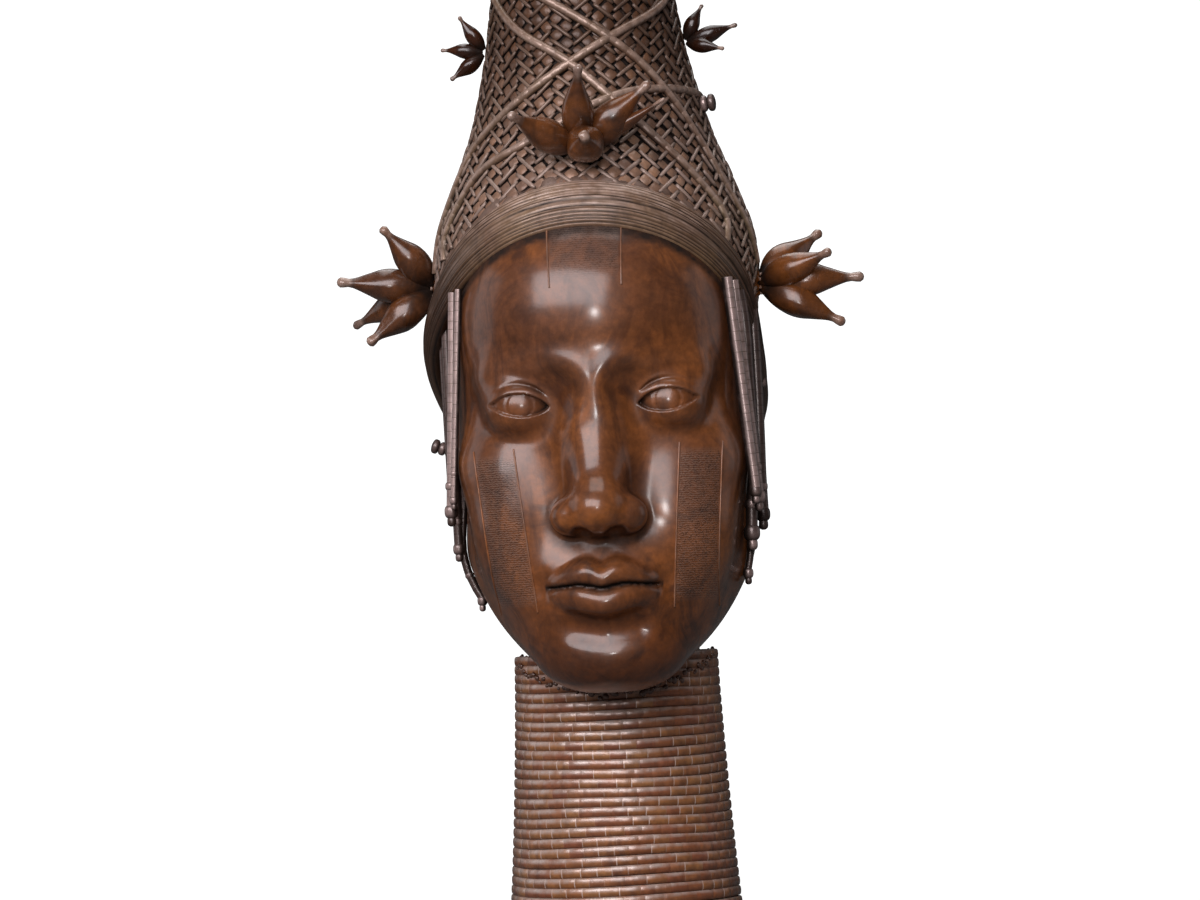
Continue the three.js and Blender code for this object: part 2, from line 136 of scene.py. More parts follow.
# Ribs: azimuth in degrees and height of the points that each one passes
RIBS = [
    [
        (83, 299), (76, 315), (68, 333), (62, 351), (53, 367), (37, 384),
        (18, 397), (-9, 411), (-40, 424), (-95, 446), (-150, 466),
    ],
    [
        (57, 306), (59, 318), (51, 332), (37, 349), (11, 374),
        (-9, 389), (-36, 402), (-66, 419), (-110, 441), (-165, 462),
    ],
    [
        (-80, 300), (-79, 319), (-67, 347), (-51, 361), (-12, 383),
        (22, 399), (60, 413), (88, 428), (130, 450), (175, 470),
    ],
    [
        (-65, 304), (-66, 317), (-51, 340), (-23, 353), (5, 367),
        (35, 374), (90, 374), (140, 364), (178, 350),
    ],
    [
        (259, 246), (258, 285), (246, 330), (236, 360),
        (217, 384), (194, 400), (165, 414), (120, 432),
    ],
    [
        (221, 226), (229, 270), (228, 320), (215, 350),
        (190, 375), (165, 392), (135, 408), (104, 424),
    ],
    [(180, 228), (180, 260), (180, 300), (180, 340), (180, 380), (180, 420), (180, 460), (180, 484)],
]

# Sprays: azimuth and height of each seat, and each bead's lift, swing, length and width
SPRAYS = [
    (-86, 294, [(47, 30, 37.5, 13.5), (6, 8, 43.5, 14.5), (-18, -30, 45, 13), (-37, 14, 39, 14)]),
    (86, 290, [(35, 34, 40, 14), (17, -26, 40, 13), (1, 0, 47, 15), (-27, -6, 43, 14.5)]),
    (0, 347, [(55, 4, 42, 13.5), (20, -47, 42, 14), (40, 75, 42, 14.5), (26, 71, 44, 6), (7, 6, 30, 15)]),
    (-86, 398, [(54, 15, 20, 6.8), (6, -10, 20.5, 6.5), (-36, 5, 20, 7)]),
    (86, 398, [(62, 10, 19, 6.5), (16, 0, 25, 7), (-12, -25, 21, 6.5)]),
]
SPRAY_ROOT = 1.5
SEAT_BEADS = 7

# Outline of a pear-shaped bead: share of its length against share of its half width
PEAR_OUTLINE = [
    (0, 0.30),
    (0.08, 0.55),
    (0.22, 0.92),
    (0.38, 1.08),
    (0.52, 0.98),
    (0.66, 0.66),
    (0.78, 0.38),
    (0.86, 0.25),
    (0.91, 0.28),
    (0.955, 0.32),
    (0.99, 0.18),
]
PEAR_ROWS = 34
PEAR_SIDES = 24

# Strings: side, place from front to back, top, bottom, radius, radius of the knob, and how
# closely the string follows the head where it narrows, from 0 to 1
STRINGS = [
    (-1, -61, 290, 200, 1.5, 1.9, 0.0),
    (-1, -55, 289, 196, 2.1, 3.0, 0.0),
    (-1, -24, 280, 197, 2.5, 3.0, 0.0),
    (-1, -32, 283, 180, 2.0, 2.6, 0.3),
    (-1, -22, 277, 157, 1.8, 2.2, 1.0),
    (1, -59, 290, 199, 2.4, 2.6, 0.0),
    (1, -52, 289, 197, 2.3, 3.0, 0.0),
    (1, -44, 285, 182, 2.6, 3.6, 0.8),
    (1, -36, 283, 164, 1.5, 2.3, 1.0),
    (1, -24, 278, 190, 2.6, 3.2, 0.15),
]
STRING_GAP = 0.2

# Strings in front of this place get a lit tone, painted light, by side; those behind it get a dark tone,
# painted shade.
FRONT_STRINGS = -50
LIT_TONE = {-1: 1.0, 1: 0.85}
SHADED_TONE = 0.12

# Small knobs that stand out sideways: one closes a rib, two show past the strings.
# Each has its two ends, and its radius at the root and at the tip.
KNOBS = [
    ((44, -2, 370), (54, -3, 371), 3.4, 4.0),
    ((-58, -14, 218), (-76, -14, 225), 2.0, 3.4),
    ((62, 4, 246), (71, 4, 247.5), 2.2, 2.6),
]
KNOB_DISC = 3.4

# Collar: plain foot rim below a stack of bead rings that flares toward its foot
FOOT_RIM = 4.4
COLLAR_TOP = 130.8
COLLAR_TOP_RADIUS = 44.9
COLLAR_FOOT_RADIUS = 52.4
COLLAR_FLARE = 1.43
RING_RADIUS = 1.6

# Beads of a tube: half width of the joint between two, and the longest step along one
JOINT_HALF = 0.3
BEAD_STEP = 2.4

# Small beads under the jaw: how many, and how much lower they lie under the chin
JAW_BEADS = 130
JAW_DROP = 17.0

# Camera of the photograph: where it stands, the point it looks at, and its roll in degrees
CAMERA_PLACE = (152.6, -2495.3, 132.0)
CAMERA_AIM = (-3.35, 0.0, 220.2)
CAMERA_ROLL = 2.4

# Lights, in metres: name, place, width and height, power in watts, colour
LIGHTS = [
    ("front_high", (-0.65, -2.0, 1.3), (2.6, 1.3), 58, (0.97, 0.94, 0.98)),
    ("flash", (0.12, -2.4, 0.45), (0.16, 0.16), 6, (1, 0.97, 0.97)),
    ("left_soft", (-1.5, 0.3, 0.6), (0.8, 1.0), 1.6, (0.95, 0.95, 1)),
    ("right_soft", (1.5, 0.4, 0.6), (0.8, 1.0), 0.8, (0.95, 0.95, 1)),
    ("top_soft", (0.0, 0.1, 1.5), (0.9, 0.9), 5, (1, 1, 1)),
    ("back_soft", (0.0, 1.1, 1.8), (1.2, 0.9), 6, (1, 1, 1)),
]
LIT_POINT = (0.0, -0.02, 0.27)


# Mesh helpers

def shift_at(z):
    """How far the leaning head lies to one side at a height."""
    return HEAD_SHIFT + HEAD_LEAN * (z - CHIN)


def unit(v):
    return v / (np.linalg.norm(v, axis=-1, keepdims=True) + 1e-12)


def outward(turn):
    """Level directions away from the upright axis; turn 0 faces the viewer."""
    return np.stack([np.sin(turn), -np.cos(turn), np.zeros_like(turn)], axis=-1)


def signed_power(value, power):
    return np.sign(value) * np.abs(value) ** power


def ramp(value, low, high):
    """A share that goes from 0 to 1 while the value goes from low to high."""
    return np.clip((value - low) / (high - low), 0, 1)


def at_each(values, run, place):
    """Values along a run, read at other places on it."""
    return np.stack([np.interp(place, run, column) for column in values.T], axis=1)


def read(items, key, width, kind=np.float64):
    """Rows of numbers from a collection of a mesh's own parts."""
    values = np.empty(len(items) * width, kind)
    items.foreach_get(key, values)
    return values.reshape(-1, width)


def store(mesh, key, values):
    """Keeps one number for each point of a mesh."""
    layer = mesh.attributes.new(key, "FLOAT", "POINT")
    layer.data.foreach_set("value", np.asarray(values, np.float32))


def new_object(name, data):
    made = bpy.data.objects.new(name, data)
    bpy.context.scene.collection.objects.link(made)
    return made


def new_mesh_object(name, points, faces, marks=None):
    """A smooth mesh object from points in millimetres, with one number per point for each mark."""
    mesh = bpy.data.meshes.new(name)
    mesh.from_pydata((np.asarray(points, float) * MM).tolist(), [], faces)
    mesh.polygons.foreach_set("use_smooth", np.ones(len(mesh.polygons), bool))
    for key, values in (marks or {}).items():
        store(mesh, key, values)
    mesh.update()
    return new_object(name, mesh)


def finish_piece(made, material):
    """Gives a finished piece its material and hands it to the frame."""
    made.data.materials.clear()
    made.data.materials.append(material)
    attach(made, BODY)
    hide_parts(NODE)


def grid_faces(rows, columns, looped=False):
    """Quads between rings of points. Looped rings run the other way round, and the last joins the first."""
    faces = []
    for i in range(rows if looped else rows - 1):
        low, high = i * columns, (i + 1) % rows * columns
        for j in range(columns):
            k = (j + 1) % columns
            a, b, c, d = low + j, low + k, high + k, high + j
            faces.append((a, d, c, b) if looped else (a, b, c, d))
    return faces


def skin(rings, first_pole, last_pole):
    """Points and faces of a closed skin of rings with one point at each end."""
    rows, columns = rings.shape[:2]
    points = np.vstack([rings.reshape(-1, 3), first_pole, last_pole])
    faces = grid_faces(rows, columns)
    bottom, top = rows * columns, rows * columns + 1
    last = bottom - columns
    for j in range(columns):
        k = (j + 1) % columns
        faces += [(bottom, k, j), (top, last + j, last + k)]
    return points, faces


def join_parts(parts):
    """One list of points and faces from several."""
    points, faces, start = [], [], 0
    for more_points, more_faces in parts:
        points.append(np.asarray(more_points))
        faces += [tuple(start + i for i in face) for face in more_faces]
        start += len(more_points)
    return np.vstack(points), faces


def catmull_rom(points, count):
    """count points, evenly spaced along a smooth curve through the given points."""
    p = np.asarray(points, float)
    p = np.vstack([2 * p[0] - p[1], p, 2 * p[-1] - p[-2]])
    spans = len(p) - 3
    t = np.linspace(0, spans, 40 * spans + 1)
    i = np.minimum(t.astype(int), spans - 1)
    f = (t - i)[:, None]
    a, b, c, d = p[i], p[i + 1], p[i + 2], p[i + 3]
    curve = 0.5 * (2 * b + (c - a) * f + (2 * a - 5 * b + 4 * c - d) * f ** 2)
    curve += 0.5 * (3 * b - a - 3 * c + d) * f ** 3
    run = run_along(curve)
    return at_each(curve, run, np.linspace(0, run[-1], count))


def run_along(path):
    """Length of the way to each point of a path."""
    return np.concatenate([[0], np.cumsum(np.linalg.norm(np.diff(path, axis=0), axis=1))])


# Distance to the head's surface, below zero inside. Points come as x, y and z, and as m,
# which has the distance from the middle plane in place of x and so makes a form on both sides.

def smooth_min(a, b, blend):
    h = np.clip(0.5 + 0.5 * (b - a) / blend, 0, 1)
    return b * (1 - h) + a * h - blend * h * (1 - h)


def smooth_max(a, b, blend):
    return -smooth_min(-a, -b, blend)


def ellipsoid(p, centre, radii):
    """Near enough the distance to an ellipsoid."""
    d = [(p[k] - centre[k]) / radii[k] for k in range(3)]
    near = np.sqrt(d[0] ** 2 + d[1] ** 2 + d[2] ** 2) + 1e-9
    slope = np.sqrt(sum((d[k] / radii[k]) ** 2 for k in range(3))) + 1e-9
    return near * (near - 1) / slope


def tapered_rod(p, a, b, start_radius, end_radius):
    """Distance to a rod with round ends whose radius changes evenly."""
    axis = [b[k] - a[k] for k in range(3)]
    rel = [p[k] - a[k] for k in range(3)]
    along = sum(rel[k] * axis[k] for k in range(3)) / sum(v * v for v in axis)
    t = np.clip(along, 0, 1)
    gap = np.sqrt(sum((rel[k] - t * axis[k]) ** 2 for k in range(3)))
    return gap - (start_radius + (end_radius - start_radius) * t)


def head_masses(p, m):
    """The skull and the masses of the head, each blended into those before it."""
    skull = ellipsoid(p, (0, -4, 262), (65, 87, 84))
    front = ellipsoid(p, (0, -34, 214), (61.5, 54, 92))
    jaw = tapered_rod(m, (42, -16, 176), (16, -66, 136), 18, 18)
    chin = ellipsoid(p, (0, -75, CHIN + 18.5), (22, 20, 18.5))
    neck = tapered_rod(p, (0, 2, 190), (0, 0, 90), 37, 33)
    cheekbones = ellipsoid(m, (38, -60, 212), (20, 20, 15))
    cheeks = ellipsoid(m, (31, -66, NOSE + 0.5), (22, 20, 26))
    muzzle = ellipsoid(p, (0, -70, MOUTH + 1), (33, 28, 26))
    forehead = ellipsoid(p, (0, -50, 280), (51, 45.5, 42))
    nose_root = ellipsoid(p, (0, -84, BROW - 2), (15, 9, 14))
    brow_ridges = tapered_rod(m, (12, -87, BROW - 2), (41, -74, BROW + 1), 7, 6)
    d = skull
    for mass, blend in (
        (front, 20), (jaw, 22), (chin, 14), (neck, 18), (cheekbones, 18),
        (cheeks, 20), (muzzle, 14), (forehead, 24), (nose_root, 12), (brow_ridges, 14),
    ):
        d = smooth_min(d, mass, blend)
    return d


def with_ears(d, m):
    """Two plain ears with a hollow."""
    d = smooth_min(d, ellipsoid(m, (58, 6, NOSE + 30), (7, 13, 26)), 3)
    return smooth_max(d, -ellipsoid(m, (67, 3, NOSE + 33), (5, 6.5, 15)), 3)


def with_eyes(d, m):
    """Sockets, lids with a crease, almond openings, balls and the ring of the iris."""
    side, y, z = m
    d = smooth_max(d, -ellipsoid(m, (EYE_SPREAD - 2, -99, EYE_LEVEL + 1), (19, 10, 12)), 12)
    d = smooth_max(d, -ellipsoid(m, (15, -99, EYE_LEVEL), (8, 9, 11)), 10)
    ball = np.sqrt((side - EYE_SPREAD) ** 2 + (y - EYE_DEPTH) ** 2 + (z - EYE_LEVEL) ** 2)
    across = (side - EYE_SPREAD) / (EYE_WIDTH / 2)
    far = np.clip(np.abs(across), 0, 1)
    middle = EYE_LEVEL + 0.8 * across
    upper = middle + 5.4 * (1 - far ** 2.0) ** 0.85
    lower = middle - 4.6 * (1 - far ** 2.2) ** 0.9
    gap = smooth_max(z - upper, lower - z, 0.8)
    gap = smooth_max(gap, np.abs(side - EYE_SPREAD) - EYE_WIDTH / 2, 0.8)
    lid = smooth_max(ball - (EYE_BALL + 1.6), np.abs(z - EYE_LEVEL) - 12.5, 6)
    d = smooth_min(d, lid, 5)
    opening = smooth_max(gap, ball - (EYE_BALL + 9), 0.5)
    d = smooth_max(d, -smooth_max(opening, EYE_BALL - ball, 0.6), 0.6)
    crease = np.sqrt((z - upper - 3.6) ** 2 + (ball - EYE_BALL - 2.6) ** 2) - 0.8
    crease = crease + 2.5 * np.clip(np.abs(across) - 0.55, 0, None)
    d = smooth_max(d, -crease, 1.6)
    iris = np.sqrt((side - EYE_SPREAD) ** 2 + (z - EYE_LEVEL - 0.6) ** 2)
    ring = np.sqrt((iris - 5.6) ** 2 + (ball - EYE_BALL - 0.1) ** 2) - 0.45
    ring = smooth_max(ring, gap + 0.4, 0.4)
    return smooth_max(d, -ring, 0.5)


def with_nose(d, p, m):
    """Bridge, tip, wings and nostrils."""
    d = smooth_min(d, tapered_rod(p, (0, -79, EYE_LEVEL + 14), (0, -97, NOSE + 14), 9.5, 10.8), 14)
    d = smooth_min(d, ellipsoid(p, (0, -104, NOSE + 10), (10.5, 10.5, 9.5)), 9)
    d = smooth_min(d, ellipsoid(m, (13.2, -97, NOSE + 7.5), (7.6, 9.6, 7.6)), 5)
    return smooth_max(d, -ellipsoid(m, (7.2, -101, NOSE - 0.2), (4.0, 6.2, 3.6)), 2.2)


def mouth_line(side):
    """Height of the line between the lips."""
    return MOUTH - 0.9 * np.exp(-(side / 5) ** 2) + 0.7 * np.exp(-((side - 11) / 6) ** 2)


def with_mouth(d, p, m):
    """Furrow above the mouth, two full lips with the line between them, and the mouth's corners."""
    side, y, z = m
    d = smooth_max(d, -tapered_rod(p, (0, -102.5, NOSE - 4), (0, -104, MOUTH + 12), 1.8, 2.6), 4)
    half = MOUTH_WIDTH / 2
    full = np.clip(1 - (side / half) ** 2, 0, 1) ** 0.6
    bend = 0.0125 * side ** 2
    line = mouth_line(side)
    bow = 1.2 * np.exp(-((side - 6) / 4.5) ** 2) - 1.3 * np.exp(-(side / 3) ** 2)
    past = np.clip(side - half, 0, None)

    def lip(front, height, size):
        return np.sqrt(((y - front - bend) / 1.25) ** 2 + (z - height) ** 2 + past ** 2) - size

    d = smooth_min(d, lip(-96.2, line + 4.4 * full + 0.8 * bow, 6.2 * full + 0.4), 2.2)
    d = smooth_min(d, lip(-94.6, line - 6.0 * full, 7.6 * full + 0.4), 2.6)
    cut = smooth_max(np.abs(z - line) - 0.3, y + 91 - bend, 1)
    cut = smooth_max(cut, side - (half - 2), 3)
    d = smooth_max(d, -cut, 2.2)
    fold = tapered_rod(m, (0, -98.5, MOUTH - 20.5), (14, -94, MOUTH - 18), 4, 2.4)
    d = smooth_max(d, -fold, 9)
    return smooth_max(d, -ellipsoid(m, (half + 3, -92, MOUTH - 0.5), (2.5, 4, 4)), 7)


def head_distance(x, y, z):
    p = (x, y, z)
    m = (np.sqrt(x * x + 1), y, z)
    d = with_eyes(with_ears(head_masses(p, m), m), m)
    return with_mouth(with_nose(d, p, m), p, m)


def march(start, ray, reach=190.0):
    """Follows rays inward until they meet the head, and returns the points there."""
    left = np.full(len(start), reach)
    live = np.arange(len(start))
    for _ in range(MARCH_STEPS):
        q = start[live] + ray[live] * left[live, None]
        d = head_distance(q[:, 0], q[:, 1], q[:, 2])
        left[live] -= MARCH_SHARE * d
        live = live[np.abs(d) > MARCH_NEAR]
        if len(live) == 0:
            break
    points = start + ray * left[:, None]
    points[:, 0] += shift_at(points[:, 2])
    return points


def spread(spans):
    """Values that run through spans of (from, to, step)."""
    values = []
    for low, high, step in spans:
        count = max(1, round((high - low) / step))
        values += [low + (high - low) * i / count for i in range(count)]
    return np.array(values + [spans[-1][1]])


def skin_points(turns, levels):
    """Points of the head's skin for each level up the core and each turn around it."""
    turn, level = (grid.ravel() for grid in np.meshgrid(turns, levels))
    base = np.clip(level, CORE_LOW, CORE_HIGH)
    tilt = ((level - base) / CORE_FAN)[:, None]
    ray = outward(turn) * np.cos(tilt) + np.sin(tilt) * (0, 0, 1)
    start = np.stack([np.zeros_like(base), np.full_like(base, CORE_Y), base], 1)
    return march(start, ray)


def head_mesh():
    """Points and faces of the whole head, finest at the eyes, the nose and the mouth."""
    levels = spread([
        (LEVEL_MIN + 4, 108, 4),
        (108, MOUTH - 12, 1.1),
        (MOUTH - 12, MOUTH + 12, 0.55),
        (MOUTH + 12, NOSE - 4, 0.9),
        (NOSE - 4, NOSE + 18, 0.55),
        (NOSE + 18, EYE_LEVEL - 11, 1.0),
        (EYE_LEVEL - 11, EYE_LEVEL + 14, 0.5),
        (EYE_LEVEL + 14, 270, 1.2),
        (270, 320, 1.8),
        (320, LEVEL_MAX - 3, 5),
    ])
    half = spread([(0, 36, 0.55), (36, 70, 1.1), (70, 180, 3.2)])
    turns = np.radians(np.concatenate([-half[1:][::-1], half[:-1]]))
    rings = skin_points(turns, levels).reshape(len(levels), len(turns), 3)
    ends = skin_points(np.zeros(1), np.array([LEVEL_MIN, LEVEL_MAX]))
    return skin(rings, *ends)


# Surface of the cap

def cap_section(z):
    """Half width, front and back of the cap at each height, smoothly between the sections."""
    table = np.array(CAP_SECTIONS, float)
    z = np.clip(np.asarray(z, float), table[0, 0], table[-1, 0])
    i = np.clip(np.searchsorted(table[:, 0], z) - 1, 0, len(table) - 2)
    before, here = table[np.maximum(i - 1, 0)], table[i]
    ahead, after = table[i + 1], table[np.minimum(i + 2, len(table) - 1)]
    span = ahead[..., :1] - here[..., :1]
    t = (z[..., None] - here[..., :1]) / span
    rise_in = (ahead - before) / (ahead[..., :1] - before[..., :1]) * span
    rise_out = (after - here) / (after[..., :1] - here[..., :1]) * span
    value = here + (ahead - here) * t * t * (3 - 2 * t)
    value = value + t * (1 - t) * (rise_in * (1 - t) - rise_out * t)
    return value[..., 1], value[..., 2], value[..., 3]


def cap_point(turn, z, lift=0.0):
    """Points of the cap: turn 0 is its front and a quarter turn is the viewer's right."""
    turn, z = np.broadcast_arrays(np.asarray(turn, float), np.asarray(z, float))
    half_width, front, back = cap_section(z)
    sway = CAP_SWAY * np.exp(-((z - SWAY_HEIGHT) / SWAY_SPREAD) ** 2)
    x = shift_at(z) - sway + (half_width + lift) * np.sin(turn)
    y = (front + back) / 2 - ((back - front) / 2 + lift) * np.cos(turn)
    return np.stack([x, y, z], axis=-1)


def cap_frame(turn, z):
    """Point, direction around, direction up the surface and outward normal of the cap."""
    around = unit(cap_point(turn + 0.01, z) - cap_point(turn - 0.01, z))
    up = cap_point(turn, z + 1.5) - cap_point(turn, z - 1.5)
    out = unit(np.cross(around, up))
    return cap_point(turn, z), around, unit(np.cross(out, around)), out


def band_height(turn):
    """Height of the headband's middle line, settled against the cap's depth at that height."""
    reach = BAND_BACK[0] - BAND_FRONT[0]
    fall = BAND_STEEPNESS * reach
    drop = BAND_BACK[1] - BAND_FRONT[1]
    z = np.full(np.shape(turn), (BAND_FRONT[1] + BAND_BACK[1]) / 2)
    for _ in range(60):
        share = (cap_point(turn, z)[..., 1] - BAND_FRONT[0]) / reach
        z = z + 0.4 * (BAND_FRONT[1] - fall * share + (drop + fall) * share ** 2 - z)
    return z


def loop_of_band(columns):
    """Azimuths and middle line of the headband, with its outward and upward directions."""
    turn = np.linspace(-math.pi, math.pi, columns, endpoint=False)
    z = band_height(turn)
    centre = cap_point(turn, z)
    up = unit(cap_point(turn, z + 6) - cap_point(turn, z - 6))
    along = np.roll(centre, -1, axis=0) - np.roll(centre, 1, axis=0)
    out = unit(np.cross(along, up))
    up = unit(up - out * np.sum(up * out, axis=1, keepdims=True))
    return turn, centre, out, up


class NetLattice:
    """Crossings of the net, laid out by arc length around the cap and by rise above the brow."""

    def __init__(self, sizes):
        self.across, self.up = sizes.step_across / MM, sizes.step_up / MM
        self.heights = np.linspace(CAP_FOOT, HEIGHT - 1, 120)
        self.turns = np.linspace(-math.pi, math.pi, 361)
        turn, z = np.meshgrid(self.turns, self.heights)
        step = np.linalg.norm(np.diff(cap_point(turn, z)[..., :2], axis=1), axis=-1)
        run = np.concatenate([np.zeros((len(self.heights), 1)), np.cumsum(step, 1)], 1)
        front = len(self.turns) // 2
        self.run = run - run[:, front:front + 1]

    def crossings(self):
        """Whole steps along the two directions of the strands, more than the cap needs."""
        reach = int(330 / self.across)
        steps = np.arange(-reach, reach)
        a, b = np.meshgrid(steps, steps)
        return a.ravel(), b.ravel()

    def height(self, rise):
        return BAND_FRONT[1] + WALL_LEAN * rise

    def row_at(self, z):
        return np.clip(np.searchsorted(self.heights, z), 0, len(self.heights) - 1)

    def turn_at(self, arc, z):
        """Azimuth of places at an arc length from the cap's front."""
        return np.array([np.interp(a, self.run[row], self.turns) for a, row in zip(arc, self.row_at(z))])

    def on_net(self, arc, z, margin):
        """Which places lie between the headband and a margin below the tip, and their azimuths."""
        inside = (z < HEIGHT - margin) & (z > CAP_FOOT)
        inside &= np.abs(arc) < self.run[self.row_at(z), -1] - NET_SEAM
        chosen = np.nonzero(inside)[0]
        turn = self.turn_at(arc[chosen], z[chosen])
        above = z[chosen] > band_height(turn) + NET_START
        return chosen[above], turn[above]


# Node helpers

def add(tree, kind, inputs=None, **settings):
    """Adds one node, sets its options, and links or sets its inputs."""
    node = tree.nodes.new(kind)
    for key, value in settings.items():
        setattr(node, key, value)
    for key, value in (inputs or {}).items():
        if isinstance(value, bpy.types.NodeSocket):
            tree.links.new(value, node.inputs[key])
        else:
            node.inputs[key].default_value = value
    return node


def maths(tree, operation, *values, clamp=False):
    inputs = dict(enumerate(values))
    return add(tree, "ShaderNodeMath", inputs, operation=operation, use_clamp=clamp).outputs[0]


def ranged(tree, value, low, high, to_low=0.0, to_high=1.0):
    """A value that goes from to_low to to_high while the given one goes from low to high."""
    inputs = {"Value": value, "From Min": low, "From Max": high, "To Min": to_low, "To Max": to_high}
    return add(tree, "ShaderNodeMapRange", inputs, clamp=True).outputs["Result"]


def tinted(tree, share, first, second, mode="MIX"):
    inputs = {0: share, 6: first, 7: second}
    return add(tree, "ShaderNodeMix", inputs, data_type="RGBA", blend_type=mode).outputs[2]


def scaled(tree, colour, red, green, blue):
    """A colour with each of its channels multiplied."""
    gain = add(tree, "ShaderNodeCombineColor", {0: red, 1: green, 2: blue}).outputs[0]
    return tinted(tree, 1.0, colour, gain, "MULTIPLY")


def noise(tree, place, size, detail=4.0, rough=0.55, warp=0.0):
    """Cloudy values whose patches are about size metres wide."""
    inputs = {"Vector": place, "Scale": 1.0 / size, "Detail": detail, "Roughness": rough, "Distortion": warp}
    return add(tree, "ShaderNodeTexNoise", inputs).outputs["Fac"]


def node_group(name, kind, inputs, outputs):
    """A new node group, the sockets of its input node and those of its output node."""
    tree = bpy.data.node_groups.new(name, kind + "NodeTree")
    for way, sockets in (("INPUT", inputs), ("OUTPUT", outputs)):
        for key, socket, *default in sockets:
            made = tree.interface.new_socket(key, in_out=way, socket_type="NodeSocket" + socket)
            if default:
                made.default_value = default[0]
    return tree, tree.nodes.new("NodeGroupInput").outputs, tree.nodes.new("NodeGroupOutput").inputs


# Rows of beads, made with Geometry Nodes on points that carry each bead's turn and size

def bead_tree():
    """A node tree that sets one round-ended bead on every point."""
    inputs = [
        ("Geometry", "Geometry"),
        ("Sides", "Int", 10),
        ("Bands", "Int", 4),
        ("End Rounding", "Float", 0.8),
        ("End Sharpness", "Float", 6.0),
        ("Section Power", "Float", 1.0),
        ("Material", "Material"),
    ]
    tree, given, result = node_group("Bead rows", "Geometry", inputs, [("Geometry", "Geometry")])
    sizes = {"Radius": 1.0, "Depth": 1.0, "Vertices": given["Sides"], "Side Segments": given["Bands"]}
    mesh = add(tree, "GeometryNodeMeshCylinder", sizes, fill_type="TRIANGLE_FAN").outputs["Mesh"]
    place = add(tree, "GeometryNodeInputPosition").outputs[0]
    axes = add(tree, "ShaderNodeSeparateXYZ", {0: place}).outputs
    along = maths(tree, "ABSOLUTE", maths(tree, "MULTIPLY", axes["Z"], 2.0))
    drop = maths(tree, "POWER", along, given["End Sharpness"])
    drop = maths(tree, "MULTIPLY", drop, given["End Rounding"])
    wide = maths(tree, "SQRT", maths(tree, "SUBTRACT", 1.0, drop))
    shaped = {"Z": axes["Z"]}
    for axis in ("X", "Y"):
        size = maths(tree, "POWER", maths(tree, "ABSOLUTE", axes[axis]), given["Section Power"])
        size = maths(tree, "MULTIPLY", maths(tree, "SIGN", axes[axis]), size)
        shaped[axis] = maths(tree, "MULTIPLY", size, wide)
    for key, value in (("bead_end", along), ("bead_face", axes["X"]), ("bead_side", axes["Y"])):
        inputs = {"Geometry": mesh, "Name": key, "Value": value}
        marked = add(tree, "GeometryNodeStoreNamedAttribute", inputs, data_type="FLOAT", domain="POINT")
        mesh = marked.outputs["Geometry"]
    shaped = add(tree, "ShaderNodeCombineXYZ", shaped).outputs[0]
    bead = add(tree, "GeometryNodeSetPosition", {"Geometry": mesh, "Position": shaped}).outputs[0]

    def carried(name):
        node = add(tree, "GeometryNodeInputNamedAttribute", {"Name": name}, data_type="FLOAT_VECTOR")
        return node.outputs["Attribute"]

    turn = add(tree, "FunctionNodeEulerToRotation", {0: carried("bead_turn")}).outputs[0]
    inputs = {"Points": given["Geometry"], "Instance": bead, "Rotation": turn, "Scale": carried("bead_size")}
    made = add(tree, "GeometryNodeInstanceOnPoints", inputs).outputs["Instances"]
    for kind in ("GeometryNodeRealizeInstances", "GeometryNodeSetShadeSmooth", "GeometryNodeSetMaterial"):
        node = add(tree, kind, {"Geometry": made})
        made = node.outputs["Geometry"]
    tree.links.new(given["Material"], node.inputs["Material"])
    tree.links.new(made, result["Geometry"])
    return tree


def bead_rows(name, beads, material, sides, bands, rounding, sharpness, power=1.0):
    """One mesh of beads, each given by centre, direction, outward side, length and two radii."""
    mesh = bpy.data.meshes.new(name + "_points")
    mesh.from_pydata([tuple(np.asarray(bead[0]) * MM) for bead in beads], [], [])
    turns, sizes = [], []
    for _, along, out, length, radius_out, radius_side in beads:
        z_axis = Vector(along).normalized()
        x_axis = Vector(out) - z_axis * Vector(out).dot(z_axis)
        x_axis.normalize()
        y_axis = z_axis.cross(x_axis)
        turns.append(tuple(Matrix((x_axis, y_axis, z_axis)).transposed().to_euler("XYZ")))
        sizes.append((radius_out * MM, radius_side * MM, length * MM))
    for key, rows in (("bead_turn", turns), ("bead_size", sizes)):
        layer = mesh.attributes.new(key, "FLOAT_VECTOR", "POINT")
        layer.data.foreach_set("vector", np.asarray(rows, np.float32).ravel())
    store(mesh, "bead_tone", np.random.default_rng(len(beads)).random(len(beads)))
    points = new_object(name + "_points", mesh)
    modifier = points.modifiers.new("Beads", "NODES")
    modifier.node_group = bpy.data.node_groups.get("Bead rows") or bead_tree()
    values = {
        "Sides": sides, "Bands": bands, "End Rounding": rounding, "End Sharpness": sharpness,
        "Section Power": power, "Material": material,
    }
    for socket in modifier.node_group.interface.items_tree:
        if socket.in_out == "INPUT" and socket.name in values:
            modifier[socket.identifier] = values[socket.name]
    real = bpy.data.meshes.new_from_object(points.evaluated_get(bpy.context.evaluated_depsgraph_get()))
    real.name = name
    bpy.data.objects.remove(points)
    return new_object(name, real)


# Smooth tubes made of beads that meet end to end, with a mark at each joint

